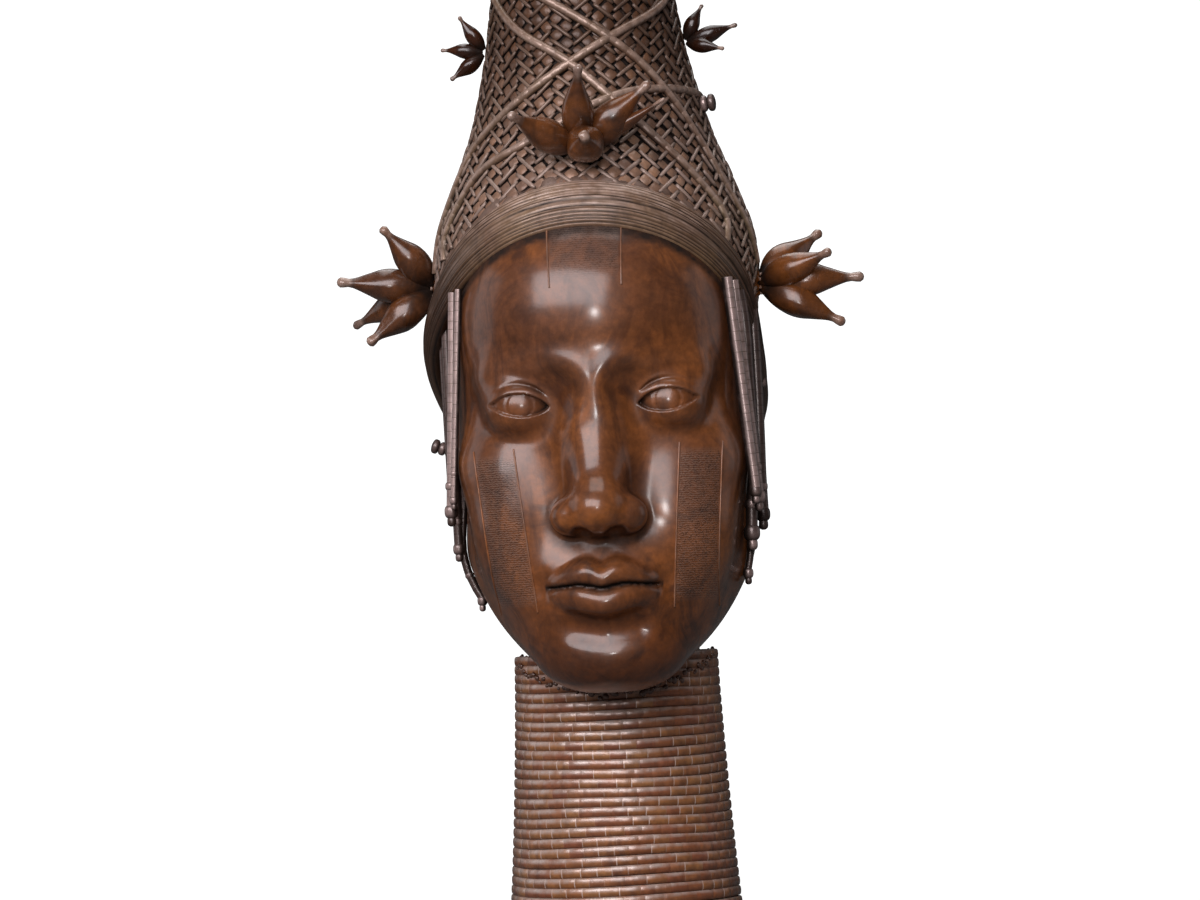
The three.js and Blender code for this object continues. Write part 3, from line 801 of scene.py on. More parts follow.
def bead_stations(length, bead_length, random, closed=False):
    """Places along a row of beads, which of them are joints, and each one's bead tone."""
    count = max(1, round(length / bead_length))
    sizes = random.uniform(0.78, 1.22, count)
    ends = np.concatenate([[0], np.cumsum(sizes / sizes.sum() * length)])
    place, joint, tone = [], [], []
    for a, b, shade in zip(ends[:-1], ends[1:], random.random(count)):
        inner = np.linspace(a + JOINT_HALF, b - JOINT_HALF, max(2, math.ceil((b - a) / BEAD_STEP)))
        place += [a, *inner]
        joint += [1.0] + [0.0] * len(inner)
        tone += [shade] * (len(inner) + 1)
    if not closed:
        place.append(length)
        joint.append(1.0)
        tone.append(tone[-1])
    return np.array(place), np.array(joint), np.array(tone)


class Tubes:
    """Collects tubes and their bead marks into one mesh."""

    def __init__(self, sides, power=1.0):
        angle = np.linspace(0, FULL_TURN, sides, endpoint=False)
        self.facing = signed_power(np.cos(angle), power)
        self.beside = signed_power(np.sin(angle), power)
        self.parts = []
        self.marks = {"bead_face": [], "bead_side": [], "bead_end": [], "bead_tone": []}

    def keep(self, path, outs, wide, tall, joint, tone, closed=False):
        """Adds a tube around a path: wide toward the given sides, tall across them."""
        step = np.roll(path, -1, axis=0) - np.roll(path, 1, axis=0) if closed else np.gradient(path, axis=0)
        along = unit(step)
        x = unit(outs - along * np.sum(outs * along, axis=1, keepdims=True))
        y = np.cross(along, x)
        across = x[:, None] * (wide[:, None] * self.facing)[..., None]
        across += y[:, None] * (tall[:, None] * self.beside)[..., None]
        rings = path[:, None] + across
        rows, sides = rings.shape[:2]
        if closed:
            self.parts.append((rings.reshape(-1, 3), grid_faces(rows, sides, True)))
        else:
            self.parts.append(skin(rings, rings[0].mean(axis=0), rings[-1].mean(axis=0)))
        values = [np.tile(value, rows) for value in (self.facing, self.beside)]
        values += [np.repeat(value, sides) for value in (joint, tone)]
        for marks, value in zip(self.marks.values(), values):
            marks.append(value if closed else np.append(value, [value[0], value[-1]]))

    def along(self, path, outs, radius, bead_length, random, dip=0.0, tone=None):
        """Adds an open tube of beads along a path, with its outward side all along or at each point."""
        run = run_along(path)
        outs = np.broadcast_to(outs, path.shape)
        place, joint, shade = bead_stations(run[-1], bead_length, random)
        size = radius * (1 - dip * joint)
        shade = shade if tone is None else np.full(len(place), tone)
        self.keep(at_each(path, run, place), at_each(outs, run, place), size, size, joint, shade)

    def make(self, name):
        points, faces = join_parts(self.parts)
        marks = {key: np.concatenate(values) for key, values in self.marks.items()}
        return new_mesh_object(name, points, faces, marks)


# Finishes

def patina_group(name):
    """Cloudy brown patina in three tones, with fine mottling over it."""
    colours = [("Dark", "Color"), ("Middle", "Color"), ("Warm", "Color")]
    inputs = [("Place", "Vector"), *colours, ("Warmth", "Float")]
    tree, given, result = node_group(name, "Shader", inputs, [("Color", "Color"), ("Cloud", "Float")])
    place = given["Place"]
    broad = noise(tree, place, 0.055, 3.0, 0.5, 0.6)
    drawn_out = add(tree, "ShaderNodeMapping", {"Vector": place, "Scale": (1.0, 1.0, 0.42)}).outputs[0]
    streaks = noise(tree, drawn_out, 0.016, 5.0, 0.62, 1.2)
    fine = noise(tree, place, 0.0035, 4.0, 0.6)
    warm = ranged(tree, maths(tree, "ADD", broad, given["Warmth"]), 0.85, 1.25)
    dark = ranged(tree, streaks, 0.50, 0.72, 0.0, 0.75)
    speck = ranged(tree, fine, 0.38, 0.66, 0.80, 1.16)
    colour = tinted(tree, warm, given["Middle"], given["Warm"])
    colour = tinted(tree, dark, colour, given["Dark"])
    tree.links.new(scaled(tree, colour, speck, speck, speck), result["Color"])
    cloud = maths(tree, "MULTIPLY_ADD", dark, 0.6, maths(tree, "MULTIPLY", fine, 0.4))
    tree.links.new(cloud, result["Cloud"])
    return tree


def shade_and_wear_group(name):
    """Painted shade and soiled patina in the hollows, and rubbed metal on what stands out, both with ragged
    edges; on the collar, the strings and the headband the raised share also carries a painted highlight.
    """
    colours = [("Color", "Color"), ("Rubbed", "Color"), ("Dirt", "Color")]
    inputs = [("Place", "Vector"), *colours, ("Hollow", "Float"), ("Raised", "Float")]
    outputs = [("Color", "Color"), ("Bare", "Float"), ("Grime", "Float")]
    tree, given, result = node_group(name, "Shader", inputs, outputs)
    ragged = noise(tree, given["Place"], 0.006, 5.0, 0.65)
    grime_and_shade = maths(tree, "MULTIPLY", given["Hollow"], ranged(tree, ragged, 0.3, 0.6, 0.7, 1.15), clamp=True)
    bare = maths(tree, "MULTIPLY", given["Raised"], ranged(tree, ragged, 0.38, 0.62, 0.35, 1.1), clamp=True)
    colour = tinted(tree, bare, given["Color"], given["Rubbed"])
    colour = tinted(tree, grime_and_shade, colour, given["Dirt"])
    for key, value in (("Color", colour), ("Bare", bare), ("Grime", grime_and_shade)):
        tree.links.new(value, result[key])
    return tree


def casting_group(name):
    """Height of a cast and hand-rubbed skin: soft waves, pits and short scratches."""
    inputs = [("Place", "Vector"), ("Pits", "Float"), ("Scratches", "Float")]
    tree, given, result = node_group(name, "Shader", inputs, [("Height", "Float")])
    place = given["Place"]
    waves = noise(tree, place, 0.009, 3.0, 0.5)
    grains = noise(tree, place, 0.0011, 3.0, 0.6)
    spots = add(tree, "ShaderNodeTexVoronoi", {"Vector": place, "Scale": 420.0}).outputs["Distance"]
    pits = maths(tree, "MULTIPLY", ranged(tree, spots, 0.0, 0.22, -1.0, 0.0), given["Pits"])
    lie = {"Vector": place, "Rotation": (0.3, 0.2, 0.5), "Scale": (1.0, 1.0, 0.06)}
    hairs = noise(tree, add(tree, "ShaderNodeMapping", lie).outputs[0], 0.0006, 2.0, 0.5)
    scratches = maths(tree, "MULTIPLY", ranged(tree, hairs, 0.62, 0.75, 0.0, -1.0), given["Scratches"])
    height = maths(tree, "ADD", maths(tree, "MULTIPLY", waves, 1.1), maths(tree, "MULTIPLY", grains, 0.35))
    height = maths(tree, "ADD", height, maths(tree, "ADD", pits, scratches))
    tree.links.new(height, result["Height"])
    return tree


class Finish:
    """One bronze finish: patina, soiled hollows with painted shade, rubbed ridges with some painted
    highlights, and cast grain on a Principled shader.
    """

    def __init__(self, name, metallic, coat, coat_roughness, specular=0.5):
        self.material = bpy.data.materials.new(name)
        self.material.use_nodes = True
        self.tree = self.material.node_tree
        self.shader = self.tree.nodes["Principled BSDF"].inputs
        self.shader["Metallic"].default_value = metallic
        self.shader["Specular IOR Level"].default_value = specular
        self.shader["Coat Roughness"].default_value = coat_roughness
        self.coat = coat
        self.place = add(self.tree, "ShaderNodeTexCoord").outputs["Object"]

    def mark(self, name):
        """One of the numbers that the points of the piece carry."""
        return add(self.tree, "ShaderNodeAttribute", attribute_name=name).outputs["Fac"]

    def axis(self, name):
        return add(self.tree, "ShaderNodeSeparateXYZ", {0: self.place}).outputs[name]

    def maths(self, operation, *values, clamp=False):
        return maths(self.tree, operation, *values, clamp=clamp)

    def ranged(self, *values):
        return ranged(self.tree, *values)

    def mixed(self, share, first, second):
        return tinted(self.tree, share, first, second)

    def paint(self, share, colour):
        """Lays a colour over the finish by a share."""
        self.colour = self.mixed(share, self.colour, colour)

    def group(self, name, build, inputs):
        """Places a shared node group, which is built the first time, and gives its outputs."""
        tree = bpy.data.node_groups.get(name) or build(name)
        return add(self.tree, "ShaderNodeGroup", {"Place": self.place} | inputs, node_tree=tree).outputs

    def patina(self, dark, middle, warm, warmth):
        inputs = {"Dark": dark, "Middle": middle, "Warm": warm, "Warmth": warmth}
        made = self.group("Bronze patina", patina_group, inputs)
        self.colour, self.cloud = made["Color"], made["Cloud"]

    # Mixes in the dark colour, soiled patina and painted shade, by the hollow share, and the rubbed colour,
    # in places a painted highlight, by the raised share.
    def wear(self, hollow, raised, rubbed, dirt_and_shade):
        inputs = {"Color": self.colour, "Rubbed": rubbed, "Dirt": dirt_and_shade, "Hollow": hollow, "Raised": raised}
        made = self.group("Shade, soil and rubbed ridges", shade_and_wear_group, inputs)
        self.colour, self.bare, self.grime_and_shade = made["Color"], made["Bare"], made["Grime"]

    def relief_shade_and_wear(self, looks, gain):
        """Painted shade and soiled patina by how hollow the piece is, and rubbed metal by how raised it is.
        """
        self.wear(self.mark("hollow"), self.mark("raised"), rgba(looks.rubbed, gain), rgba(looks.dirt_and_shade))

    def bead_shade_and_wear(self, looks, rub, shade_below, gain, joint=0.0):
        """Wear and painted shade of a bead: rubbed along its outer side, painted shade on the side that
        faces in, and soiled at its joints if asked.
        """
        face = self.mark("bead_face")
        raised = self.maths("MULTIPLY", self.ranged(face, 0.45, 1.0), rub)
        hollow = self.maths("MULTIPLY", self.ranged(face, 0.5, -0.1), shade_below)
        gap = self.maths("MULTIPLY", self.ranged(self.mark("bead_end"), 0.90, 0.99), joint)
        self.wear(self.maths("MAXIMUM", hollow, gap), raised, rgba(looks.rubbed, gain), rgba(looks.dirt_and_shade))

    def fade(self, axis, near, far, share):
        """Paints shade: turns the colour darker and redder from near to far along an axis; X goes both ways.
        """
        place = self.axis(axis)
        if axis == "X":
            place = self.maths("ABSOLUTE", place)
        gain = self.ranged(place, near, far, 1.0, share)
        green, blue = (self.maths("POWER", gain, power) for power in (1.2, 1.4))
        self.colour = scaled(self.tree, self.colour, gain, green, blue)

    def finish(self, roughness, depth, pits, scratches, carved=None):
        """Adds the cast grain, less any carving, and links everything to the shader."""
        height = self.group("Cast skin", casting_group, {"Pits": pits, "Scratches": scratches})["Height"]
        if carved is not None:
            height = self.maths("SUBTRACT", height, carved)
        rough = self.maths("MULTIPLY_ADD", self.cloud, 0.22, roughness - 0.08)
        rough = self.maths("SUBTRACT", rough, self.maths("MULTIPLY", self.bare, 0.07))
        rough = self.maths("ADD", rough, self.maths("MULTIPLY", self.grime_and_shade, 0.3), clamp=True)
        bump = add(self.tree, "ShaderNodeBump", {"Height": height, "Distance": depth, "Strength": 1.0})
        results = {
            "Base Color": self.colour,
            "Roughness": rough,
            "Coat Weight": self.maths("MULTIPLY_ADD", self.grime_and_shade, -self.coat, self.coat, clamp=True),
            "Normal": bump.outputs["Normal"],
        }
        for key, value in results.items():
            self.tree.links.new(value, self.shader[key])
        return self.material


def rgba(colour, gain=1.0):
    return (colour[0] * gain, colour[1] * gain, colour[2] * gain, 1.0)


def face_finish(looks):
    """Polished chestnut brown of the face, with finely hatched panels, painted shade in its hollows and
    painted shade under the chin.
    """
    made = Finish("polished_face", metallic=0.08, coat=0.85, coat_roughness=0.18, specular=0.32)
    tree, place = made.tree, made.place
    warmth = made.ranged(made.axis("Z"), 0.28, 0.14, 0.36, 0.62)
    made.patina(rgba(looks.face_dark), rgba(looks.face), rgba(looks.face_warm), warmth)
    blotch = made.ranged(noise(tree, place, 0.03, 4.0, 0.6, 1.5), 0.52, 0.66, 0.0, 0.6)
    made.paint(blotch, rgba(looks.face_dark, 1.6))
    # Painted shade, darker under the chin and down the neck.
    made.fade("Z", 0.165, 0.11, 0.3)
    raised = made.maths("MULTIPLY", made.mark("raised"), 0.3)
    made.wear(made.mark("hollow"), raised, rgba(looks.rubbed, 0.55), rgba(looks.dirt_and_shade))
    panel = made.mark("panel")
    bands = {"Vector": place, "Scale": 330.0, "Distortion": 5.0, "Detail": 3.0, "Detail Scale": 3.0}
    hatch = add(tree, "ShaderNodeTexWave", bands, wave_type="BANDS", bands_direction="Z").outputs["Fac"]
    stipple = add(tree, "ShaderNodeTexVoronoi", {"Vector": place, "Scale": 1100.0}).outputs["Distance"]
    dots = made.maths("MULTIPLY", made.ranged(stipple, 0.15, 0.5, 1.0, 0.35), made.ranged(hatch, 0.25, 0.75))
    dots = made.maths("MULTIPLY", dots, panel)
    ridge = made.maths("MULTIPLY", made.ranged(dots, 0.3, 0.0), made.maths("MULTIPLY", panel, 0.3))
    made.paint(ridge, rgba(looks.rubbed, 0.9))
    made.paint(made.maths("MULTIPLY", dots, 0.7), rgba(looks.dirt_and_shade, 2.0))
    made.cloud = made.maths("ADD", made.cloud, made.maths("MULTIPLY", panel, 0.4))
    return made.finish(0.44, 0.00011, 0.08, 0.1, made.maths("MULTIPLY", dots, 2.6))


def line_finish(looks):
    """Thin lines along the hatched panels, rubbed a little paler than the face."""
    made = Finish("panel_lines", metallic=0.1, coat=0.6, coat_roughness=0.25, specular=0.3)
    made.patina(rgba(looks.face), rgba(looks.face_warm, 0.8), rgba(looks.rubbed, 0.5), 0.5)
    made.wear(0.0, 0.25, rgba(looks.rubbed, 0.7), rgba(looks.dirt_and_shade))
    return made.finish(0.4, 0.0001, 0.1, 0.1)


def net_finish(looks):
    """Matt taupe bars of the net, soiled at their joints, with painted shade where they face the cap and
    painted shade toward the tip.
    """
    made = Finish("net_bars", metallic=0.15, coat=0.3, coat_roughness=0.34, specular=0.35)
    made.patina(rgba(looks.net, 0.45), rgba(looks.bar), rgba(looks.bar_warm), 0.4)
    made.bead_shade_and_wear(looks, 0.9, 0.8, 1.15, 0.4)
    # Painted shade, darker toward the tip of the cap.
    made.fade("Z", 0.34, 0.40, 0.4)
    return made.finish(0.42, 0.00014, 0.6, 0.2)


def square_finish(looks):
    """Worn flat squares in the meshes of the net, each with its own tone, dark at their sides with soiled
    patina and painted shade, and painted shade toward the tip.
    """
    made = Finish("net_squares", metallic=0.15, coat=0.3, coat_roughness=0.34, specular=0.35)
    tone, end = made.mark("bead_tone"), made.mark("bead_end")
    middle = made.mixed(tone, rgba(looks.net, 0.95), rgba(looks.square_warm))
    made.patina(rgba(looks.net, 0.5), middle, rgba(looks.net, 1.5), 0.4)
    shine = made.maths("MULTIPLY", made.ranged(end, 0.6, 0.9), made.ranged(tone, 0.2, 1.0, 0.05, 0.6))
    # Rubbed tops by tone; the sides go dark, partly soiled patina and partly painted shade.
    made.wear(made.ranged(end, 0.95, 0.5), shine, rgba(looks.rubbed), rgba(looks.dirt_and_shade))
    # Painted shade, darker toward the tip of the cap.
    made.fade("Z", 0.34, 0.40, 0.4)
    return made.finish(0.44, 0.00018, 0.8, 0.2)


def ground_finish(looks):
    """The ground of the net, nearly black between the beads with soiled patina and painted shade, and rubbed
    where it swells.
    """
    made = Finish("net_ground", metallic=0.2, coat=0.15, coat_roughness=0.45)
    made.patina(rgba(looks.net, 0.3), rgba(looks.net, 0.8), rgba(looks.band, 1.2), 0.4)
    made.relief_shade_and_wear(looks, 0.7)
    return made.finish(0.55, 0.0002, 0.8, 0.1)


def rib_finish(looks):
    """Tan ribs with rubbed ridges, soiled joints, painted shade on the side toward the cap, and painted
    shade high on the cap.
    """
    made = Finish("cap_rib_beads", metallic=0.25, coat=0.35, coat_roughness=0.32)
    made.patina(rgba(looks.band, 0.4), rgba(looks.band), rgba(looks.rib_warm), 0.45)
    made.bead_shade_and_wear(looks, 0.95, 1.0, 1.35, 0.7)
    # Painted shade, darker toward the tip of the cap.
    made.fade("Z", 0.36, 0.42, 0.75)
    return made.finish(0.4, 0.00014, 0.5, 0.2)


def band_finish(looks):
    """Tan strands, rubbed on their ridges, with painted shade in the grooves and round the sides of the
    head.
    """
    made = Finish("headband_strands", metallic=0.15, coat=0.6, coat_roughness=0.3, specular=0.4)
    made.patina(rgba(looks.band, 0.4), rgba(looks.band, 1.05), rgba(looks.band_warm), 0.5)
    made.relief_shade_and_wear(looks, 1.5)
    # Painted shade round the sides of the head.
    made.fade("X", 0.036, 0.066, 0.3)
    return made.finish(0.4, 0.00014, 0.5, 0.3)


def spray_finish(looks):
    """Glossy dark brown pears with pale worn knobs, dark roots of soiled patina and painted shade, and
    painted shade that makes them nearly black high on the cap.
    """
    made = Finish("spray_beads", metallic=0.08, coat=0.95, coat_roughness=0.2, specular=0.3)
    made.patina(rgba(looks.spray, 0.2), rgba(looks.spray, 0.7), rgba(looks.face_warm, 0.75), 0.5)
    # Painted shade high on the cap.
    made.fade("Z", 0.37, 0.39, 0.25)
    made.relief_shade_and_wear(looks, 1.3)
    return made.finish(0.3, 0.00016, 0.4, 0.3)


def string_finish(looks):
    """Tubes with a painted silvery sheen where their tone is lit and dark brown where it is shaded, a
    painted highlight on the side toward the front, and painted shade on the far sides.
    """
    made = Finish("hanging_strings", metallic=0.35, coat=0.9, coat_roughness=0.27)
    light, face = made.mark("bead_tone"), made.mark("bead_face")
    # Painted light: lit strings take the lilac sheen colour, shaded ones dark brown.
    middle = made.mixed(light, rgba(looks.spray, 0.4), rgba(looks.string))
    made.patina(rgba(looks.spray, 0.4), middle, middle, 0.3)
    # Painted highlight on the side of each tube that faces front and outward.
    painted_highlight = made.maths("MULTIPLY", made.ranged(face, 0.2, 0.8), light)
    # Soiled joints, and painted shade on the sides that face away.
    seam = made.ranged(made.mark("bead_end"), 0.3, 1.0, 0.0, 0.85)
    hollow = made.maths("MAXIMUM", seam, made.ranged(face, 0.65, 0.05))
    made.wear(hollow, painted_highlight, rgba(looks.string, 1.9), rgba(looks.dirt_and_shade))
    return made.finish(0.4, 0.00005, 0.2, 0.2)


def jaw_finish(looks):
    """Glossy lumps under the jaw, painted dark as its shade, with painted shade on their inner side."""
    made = Finish("jaw_beads", metallic=0.1, coat=0.8, coat_roughness=0.18, specular=0.3)
    made.patina(rgba(looks.spray, 0.3), rgba(looks.spray, 0.7), rgba(looks.collar, 0.5), 0.4)
    made.bead_shade_and_wear(looks, 0.25, 0.8, 0.9)
    return made.finish(0.34, 0.00014, 0.5, 0.2)


def collar_finish(looks):
    """Reddish brown rings: a pale painted highlight along their upper side, painted shade below and in the
    grooves, pale worn joints, and painted shade toward the sides.
    """
    made = Finish("collar_beads", metallic=0.12, coat=0.85, coat_roughness=0.3, specular=0.5)
    face, side, end, tone = (made.mark("bead_" + key) for key in ("face", "side", "end", "tone"))
    middle = made.mixed(tone, rgba(looks.collar, 0.85), rgba(looks.collar_warm))
    made.patina(rgba(looks.collar, 0.35), middle, rgba(looks.face_warm, 0.9), 0.42)
    # Painted highlight along each ring's upper side, narrower toward the viewer's right.
    narrow = made.ranged(made.axis("X"), 0.012, 0.034, 0.0, 0.5)
    painted_highlight = made.ranged(made.maths("ADD", side, narrow), 0.2, -0.45, 0.0, 0.95)
    # Painted shade in the grooves between rings and on each ring's lower side.
    groove = made.ranged(face, 0.45, 0.1, 0.0, 0.9)
    hollow = made.maths("MAXIMUM", made.ranged(side, 0.0, 0.9, 0.0, 0.5), groove)
    made.wear(hollow, painted_highlight, rgba(looks.pale, 0.95), rgba(looks.collar, 0.12))
    joint = made.maths("MULTIPLY", made.ranged(end, 0.1, 0.6), made.ranged(tone, 0.4, 0.7, 0.0, 0.85))
    made.paint(made.maths("MULTIPLY", joint, made.ranged(face, 0.3, 0.7)), rgba(looks.pale, 1.3))
    # Painted shade toward the sides.
    made.fade("X", 0.045, 0.053, 0.45)
    return made.finish(0.36, 0.00014, 0.5, 0.3)


# Pieces

def raised_parts(mesh, normals):
    """How far each point stands out from the points around it, from 0 to 1."""
    count = len(mesh.vertices)
    co = read(mesh.vertices, "co", 3) / MM
    a, b = read(mesh.edges, "vertices", 2, np.int64).T
    links = np.maximum(np.bincount(a, minlength=count) + np.bincount(b, minlength=count), 1)

    def mean_around(values):
        return (np.bincount(a, values[b], count) + np.bincount(b, values[a], count)) / links

    around = np.stack([mean_around(co[:, k]) for k in range(3)], axis=1)
    reach = mean_around(np.linalg.norm(co - around, axis=1)) + 0.35
    bend = np.einsum("ij,ij->i", around - co, normals) / reach
    bend = 0.5 * bend + 0.5 * mean_around(bend)
    return np.clip(-3 * bend, 0, 1)


def occlusion(points, normals, reaches):
    """How shut in each point of the head is, from the distance to it a little way out."""
    shut = np.zeros(len(points))
    for reach in reaches:
        q = points + normals * reach
        d = head_distance(q[:, 0] - shift_at(q[:, 2]), q[:, 1], q[:, 2])
        shut += np.clip(1 - d / reach, 0, 1)
    return shut / len(reaches)


def soft_box(value, low, high, edge):
    return ramp(value, low, low + edge) * ramp(value, high, high - edge)


def panel_mask(points):
    """Where the face carries hatched panels: mid forehead, at half strength, and both cheeks."""
    z = points[:, 2]
    x = points[:, 0] - shift_at(z)
    forehead = soft_box(x, -FOREHEAD_PANEL, FOREHEAD_PANEL, 1.0) * soft_box(z, BROW + 40, 330, 6.0) * 0.5
    side = np.abs(x) - CHEEK_LEAN * (z - MOUTH)
    cheek = soft_box(side, *CHEEK_PANEL, 1.0) * soft_box(z, MOUTH - 8, EYE_LEVEL - 20, 4.0)
    return np.where(points[:, 1] < -30, np.maximum(forehead, cheek), 0)


def reach_of_band(points, sizes):
    """Distance of each high point of the head from the lower edge of the headband."""
    _, centre, _, up = loop_of_band(400)
    edge = centre - up * (sizes.half_height / MM)
    reach = np.full(len(points), 99.0)
    for chosen in np.array_split(np.nonzero(points[:, 2] > edge[:, 2].min() - 6)[0], 40):
        reach[chosen] = np.linalg.norm(points[chosen, None] - edge[None], axis=2).min(axis=1)
    return reach


def make_head(settings):
    """The polished head, with painted shade in its folds and between the lips, and a painted shadow under
    the headband.
    """
    points, faces = head_mesh()
    made = new_mesh_object("head_skin", points, faces)
    mesh = made.data
    normals = read(mesh.vertex_normals, "vector", 3, np.float32)
    # Painted shade: how shut in each point is, as ambient occlusion.
    near = occlusion(points, normals, (1.5, 3.0))
    wide = occlusion(points, normals, (8.0, 16.0))
    hollow = np.clip(0.9 * (near - 0.28) + 0.75 * (wide - 0.16), 0, 1)
    # A painted dark line, shade between the lips.
    side = np.abs(points[:, 0] - shift_at(points[:, 2]))
    seam = np.exp(-((points[:, 2] - mouth_line(side)) / 1.5) ** 2)
    hollow = np.maximum(hollow, seam * ((side < MOUTH_WIDTH / 2) & (points[:, 1] < -80)))
    # A painted shadow just under the headband's lower edge.
    hollow = np.maximum(hollow, 0.85 * ramp(reach_of_band(points, settings.band), 6.4, 3.8))
    store(mesh, "hollow", hollow)
    store(mesh, "raised", raised_parts(mesh, normals))
    store(mesh, "panel", panel_mask(points))
    finish_piece(made, face_finish(settings.looks))


def face_point(x, z):
    """The point of the face straight behind a place in its front view."""
    return march(np.stack([x, np.zeros_like(x), z], 1), np.tile((0.0, -1.0, 0.0), (len(x), 1)), 150.0)


def make_panel_lines(settings):
    """Thin raised lines along the edges of the hatched panels."""
    random = np.random.default_rng(47)
    tubes = Tubes(8)
    for side in (-1, 1):
        z = np.linspace(BROW + 38, 320, 30)
        lines = [(side * FOREHEAD_PANEL * (1 + 0.0016 * (z - BROW - 25)), z)]
        z = np.linspace(MOUTH - 10, EYE_LEVEL - 18, 50)
        lines += [(side * (edge + CHEEK_LEAN * (z - MOUTH)), z) for edge in CHEEK_PANEL]
        for x, z in lines:
            tubes.along(face_point(x, z) - (0, 0.12, 0), (0.0, -1.0, 0.0), 0.38, 30.0, random)
    finish_piece(tubes.make("panel_lines"), line_finish(settings.looks))


def make_band(settings):
    """The headband: a rounded band of fine strands lying side by side, rubbed smooth at its front."""
    sizes = settings.band
    strands, columns, around = sizes.strands, 600, 132
    turn, centre, out, up = loop_of_band(columns)
    turn = turn[:, None]
    angle = np.linspace(0, FULL_TURN, around, endpoint=False)[None]
    level = signed_power(np.cos(angle), 0.8)
    across = level * sizes.half_height / MM
    depth = signed_power(np.sin(angle), 0.9) * sizes.half_thickness / MM
    outer = np.clip(np.sin(angle) * 3, 0, 1)
    random = np.random.default_rng(7)
    edges = np.sort(np.linspace(-1, 1, strands + 1) + random.uniform(-0.03, 0.03, strands + 1))
    wander = np.zeros((columns, 1))
    for n in range(2, 9):
        wander += random.normal(0, 0.012 / n) * np.cos(n * turn + random.uniform(0, 6.28))
    place = level + wander * (1 - level ** 2)
    strand = np.clip(np.searchsorted(edges, place) - 1, 0, strands - 1)
    t = np.clip((place - edges[strand]) / (edges[strand + 1] - edges[strand]), 0, 1)
    crown = np.sqrt(np.clip(1 - (2 * t - 1) ** 2, 0, 1))
    rubbed = ramp(np.cos(turn), 0.8, 0.98) * np.clip(2.0 * level - 0.1, 0, 1)
    groove = (1 - crown) * outer * (1 - 0.7 * rubbed)
    lift = random.uniform(-0.25, 0.25, strands)[strand] * outer * (1 - 0.6 * rubbed)
    swell = depth - groove * sizes.groove / MM + lift
    rings = centre[:, None] + out[:, None] * swell[..., None] + up[:, None] * across[..., None]
    shine = np.ones((columns, strands))
    for n in range(5, 60, 6):
        phase = random.uniform(0, FULL_TURN, strands)
        shine += random.normal(0, 0.16, strands) * np.sin(n * turn + phase)
    shine = shine[np.arange(columns)[:, None], strand]
    # hollow: painted shade in the grooves and on the inner side; raised: rubbed ridges, brighter on the
    # upper half as a painted highlight, and the rubbed front, also a painted highlight.
    marks = {
        "hollow": np.clip(groove * 2.2 - 0.25 + 0.6 * (1 - outer), 0, 1).ravel(),
        "raised": np.clip((crown - 0.7) * (1.9 + 1.7 * level) * outer * shine + 0.35 * rubbed, 0, 1).ravel(),
    }
    made = new_mesh_object("headband", rings.reshape(-1, 3), grid_faces(columns, around, True), marks)
    finish_piece(made, band_finish(settings.looks))


def make_cap(settings):
    """The cap's ground below the net, with worn lumps that swell over its edge at the brow."""
    random = np.random.default_rng(3)
    turn = np.linspace(-math.pi, math.pi, 260, endpoint=False)
    low = band_height(turn)
    z = low + (HEIGHT - 0.8 - low) * np.linspace(0, 1, 100)[:, None] ** 0.92
    turn = np.broadcast_to(turn, z.shape)
    swell = np.zeros(z.shape)
    for _ in range(26):
        middle = math.radians(random.uniform(-62, 62))
        above = random.uniform(9, 15)
        wide, tall = random.uniform(0.05, 0.11), random.uniform(2.0, 4.0)
        lump = np.exp(-((turn - middle) / wide) ** 2 - ((z - low - above) / tall) ** 2)
        swell = np.maximum(swell, lump * random.uniform(1.5, 2.9))
    lift = (swell - settings.net.sink / MM) * ramp(z, HEIGHT - 8, HEIGHT - 18)
    rings = cap_point(turn, z) + cap_frame(turn, z)[3] * lift[..., None]
    points, faces = skin(rings, (shift_at(262), 0, 262), (shift_at(HEIGHT), -24, HEIGHT - 0.6))
    # The ground is dark under the net, partly soiled patina and partly painted shade, and rubbed where it
    # swells.
    marks = {"hollow": 0.95 - 0.55 * swell, "raised": 0.45 * swell - 0.5}
    marks = {key: np.append(np.clip(values, 0, 1).ravel(), [0, 0]) for key, values in marks.items()}
    finish_piece(new_mesh_object("cap_ground", points, faces, marks), ground_finish(settings.looks))


def brow_wear(turn, z):
    """How far the net is worn away: most just over the headband at the brow."""
    return ramp(z - band_height(turn), 31.0, 9.0) * ramp(np.cos(turn), 0.45, 0.75)


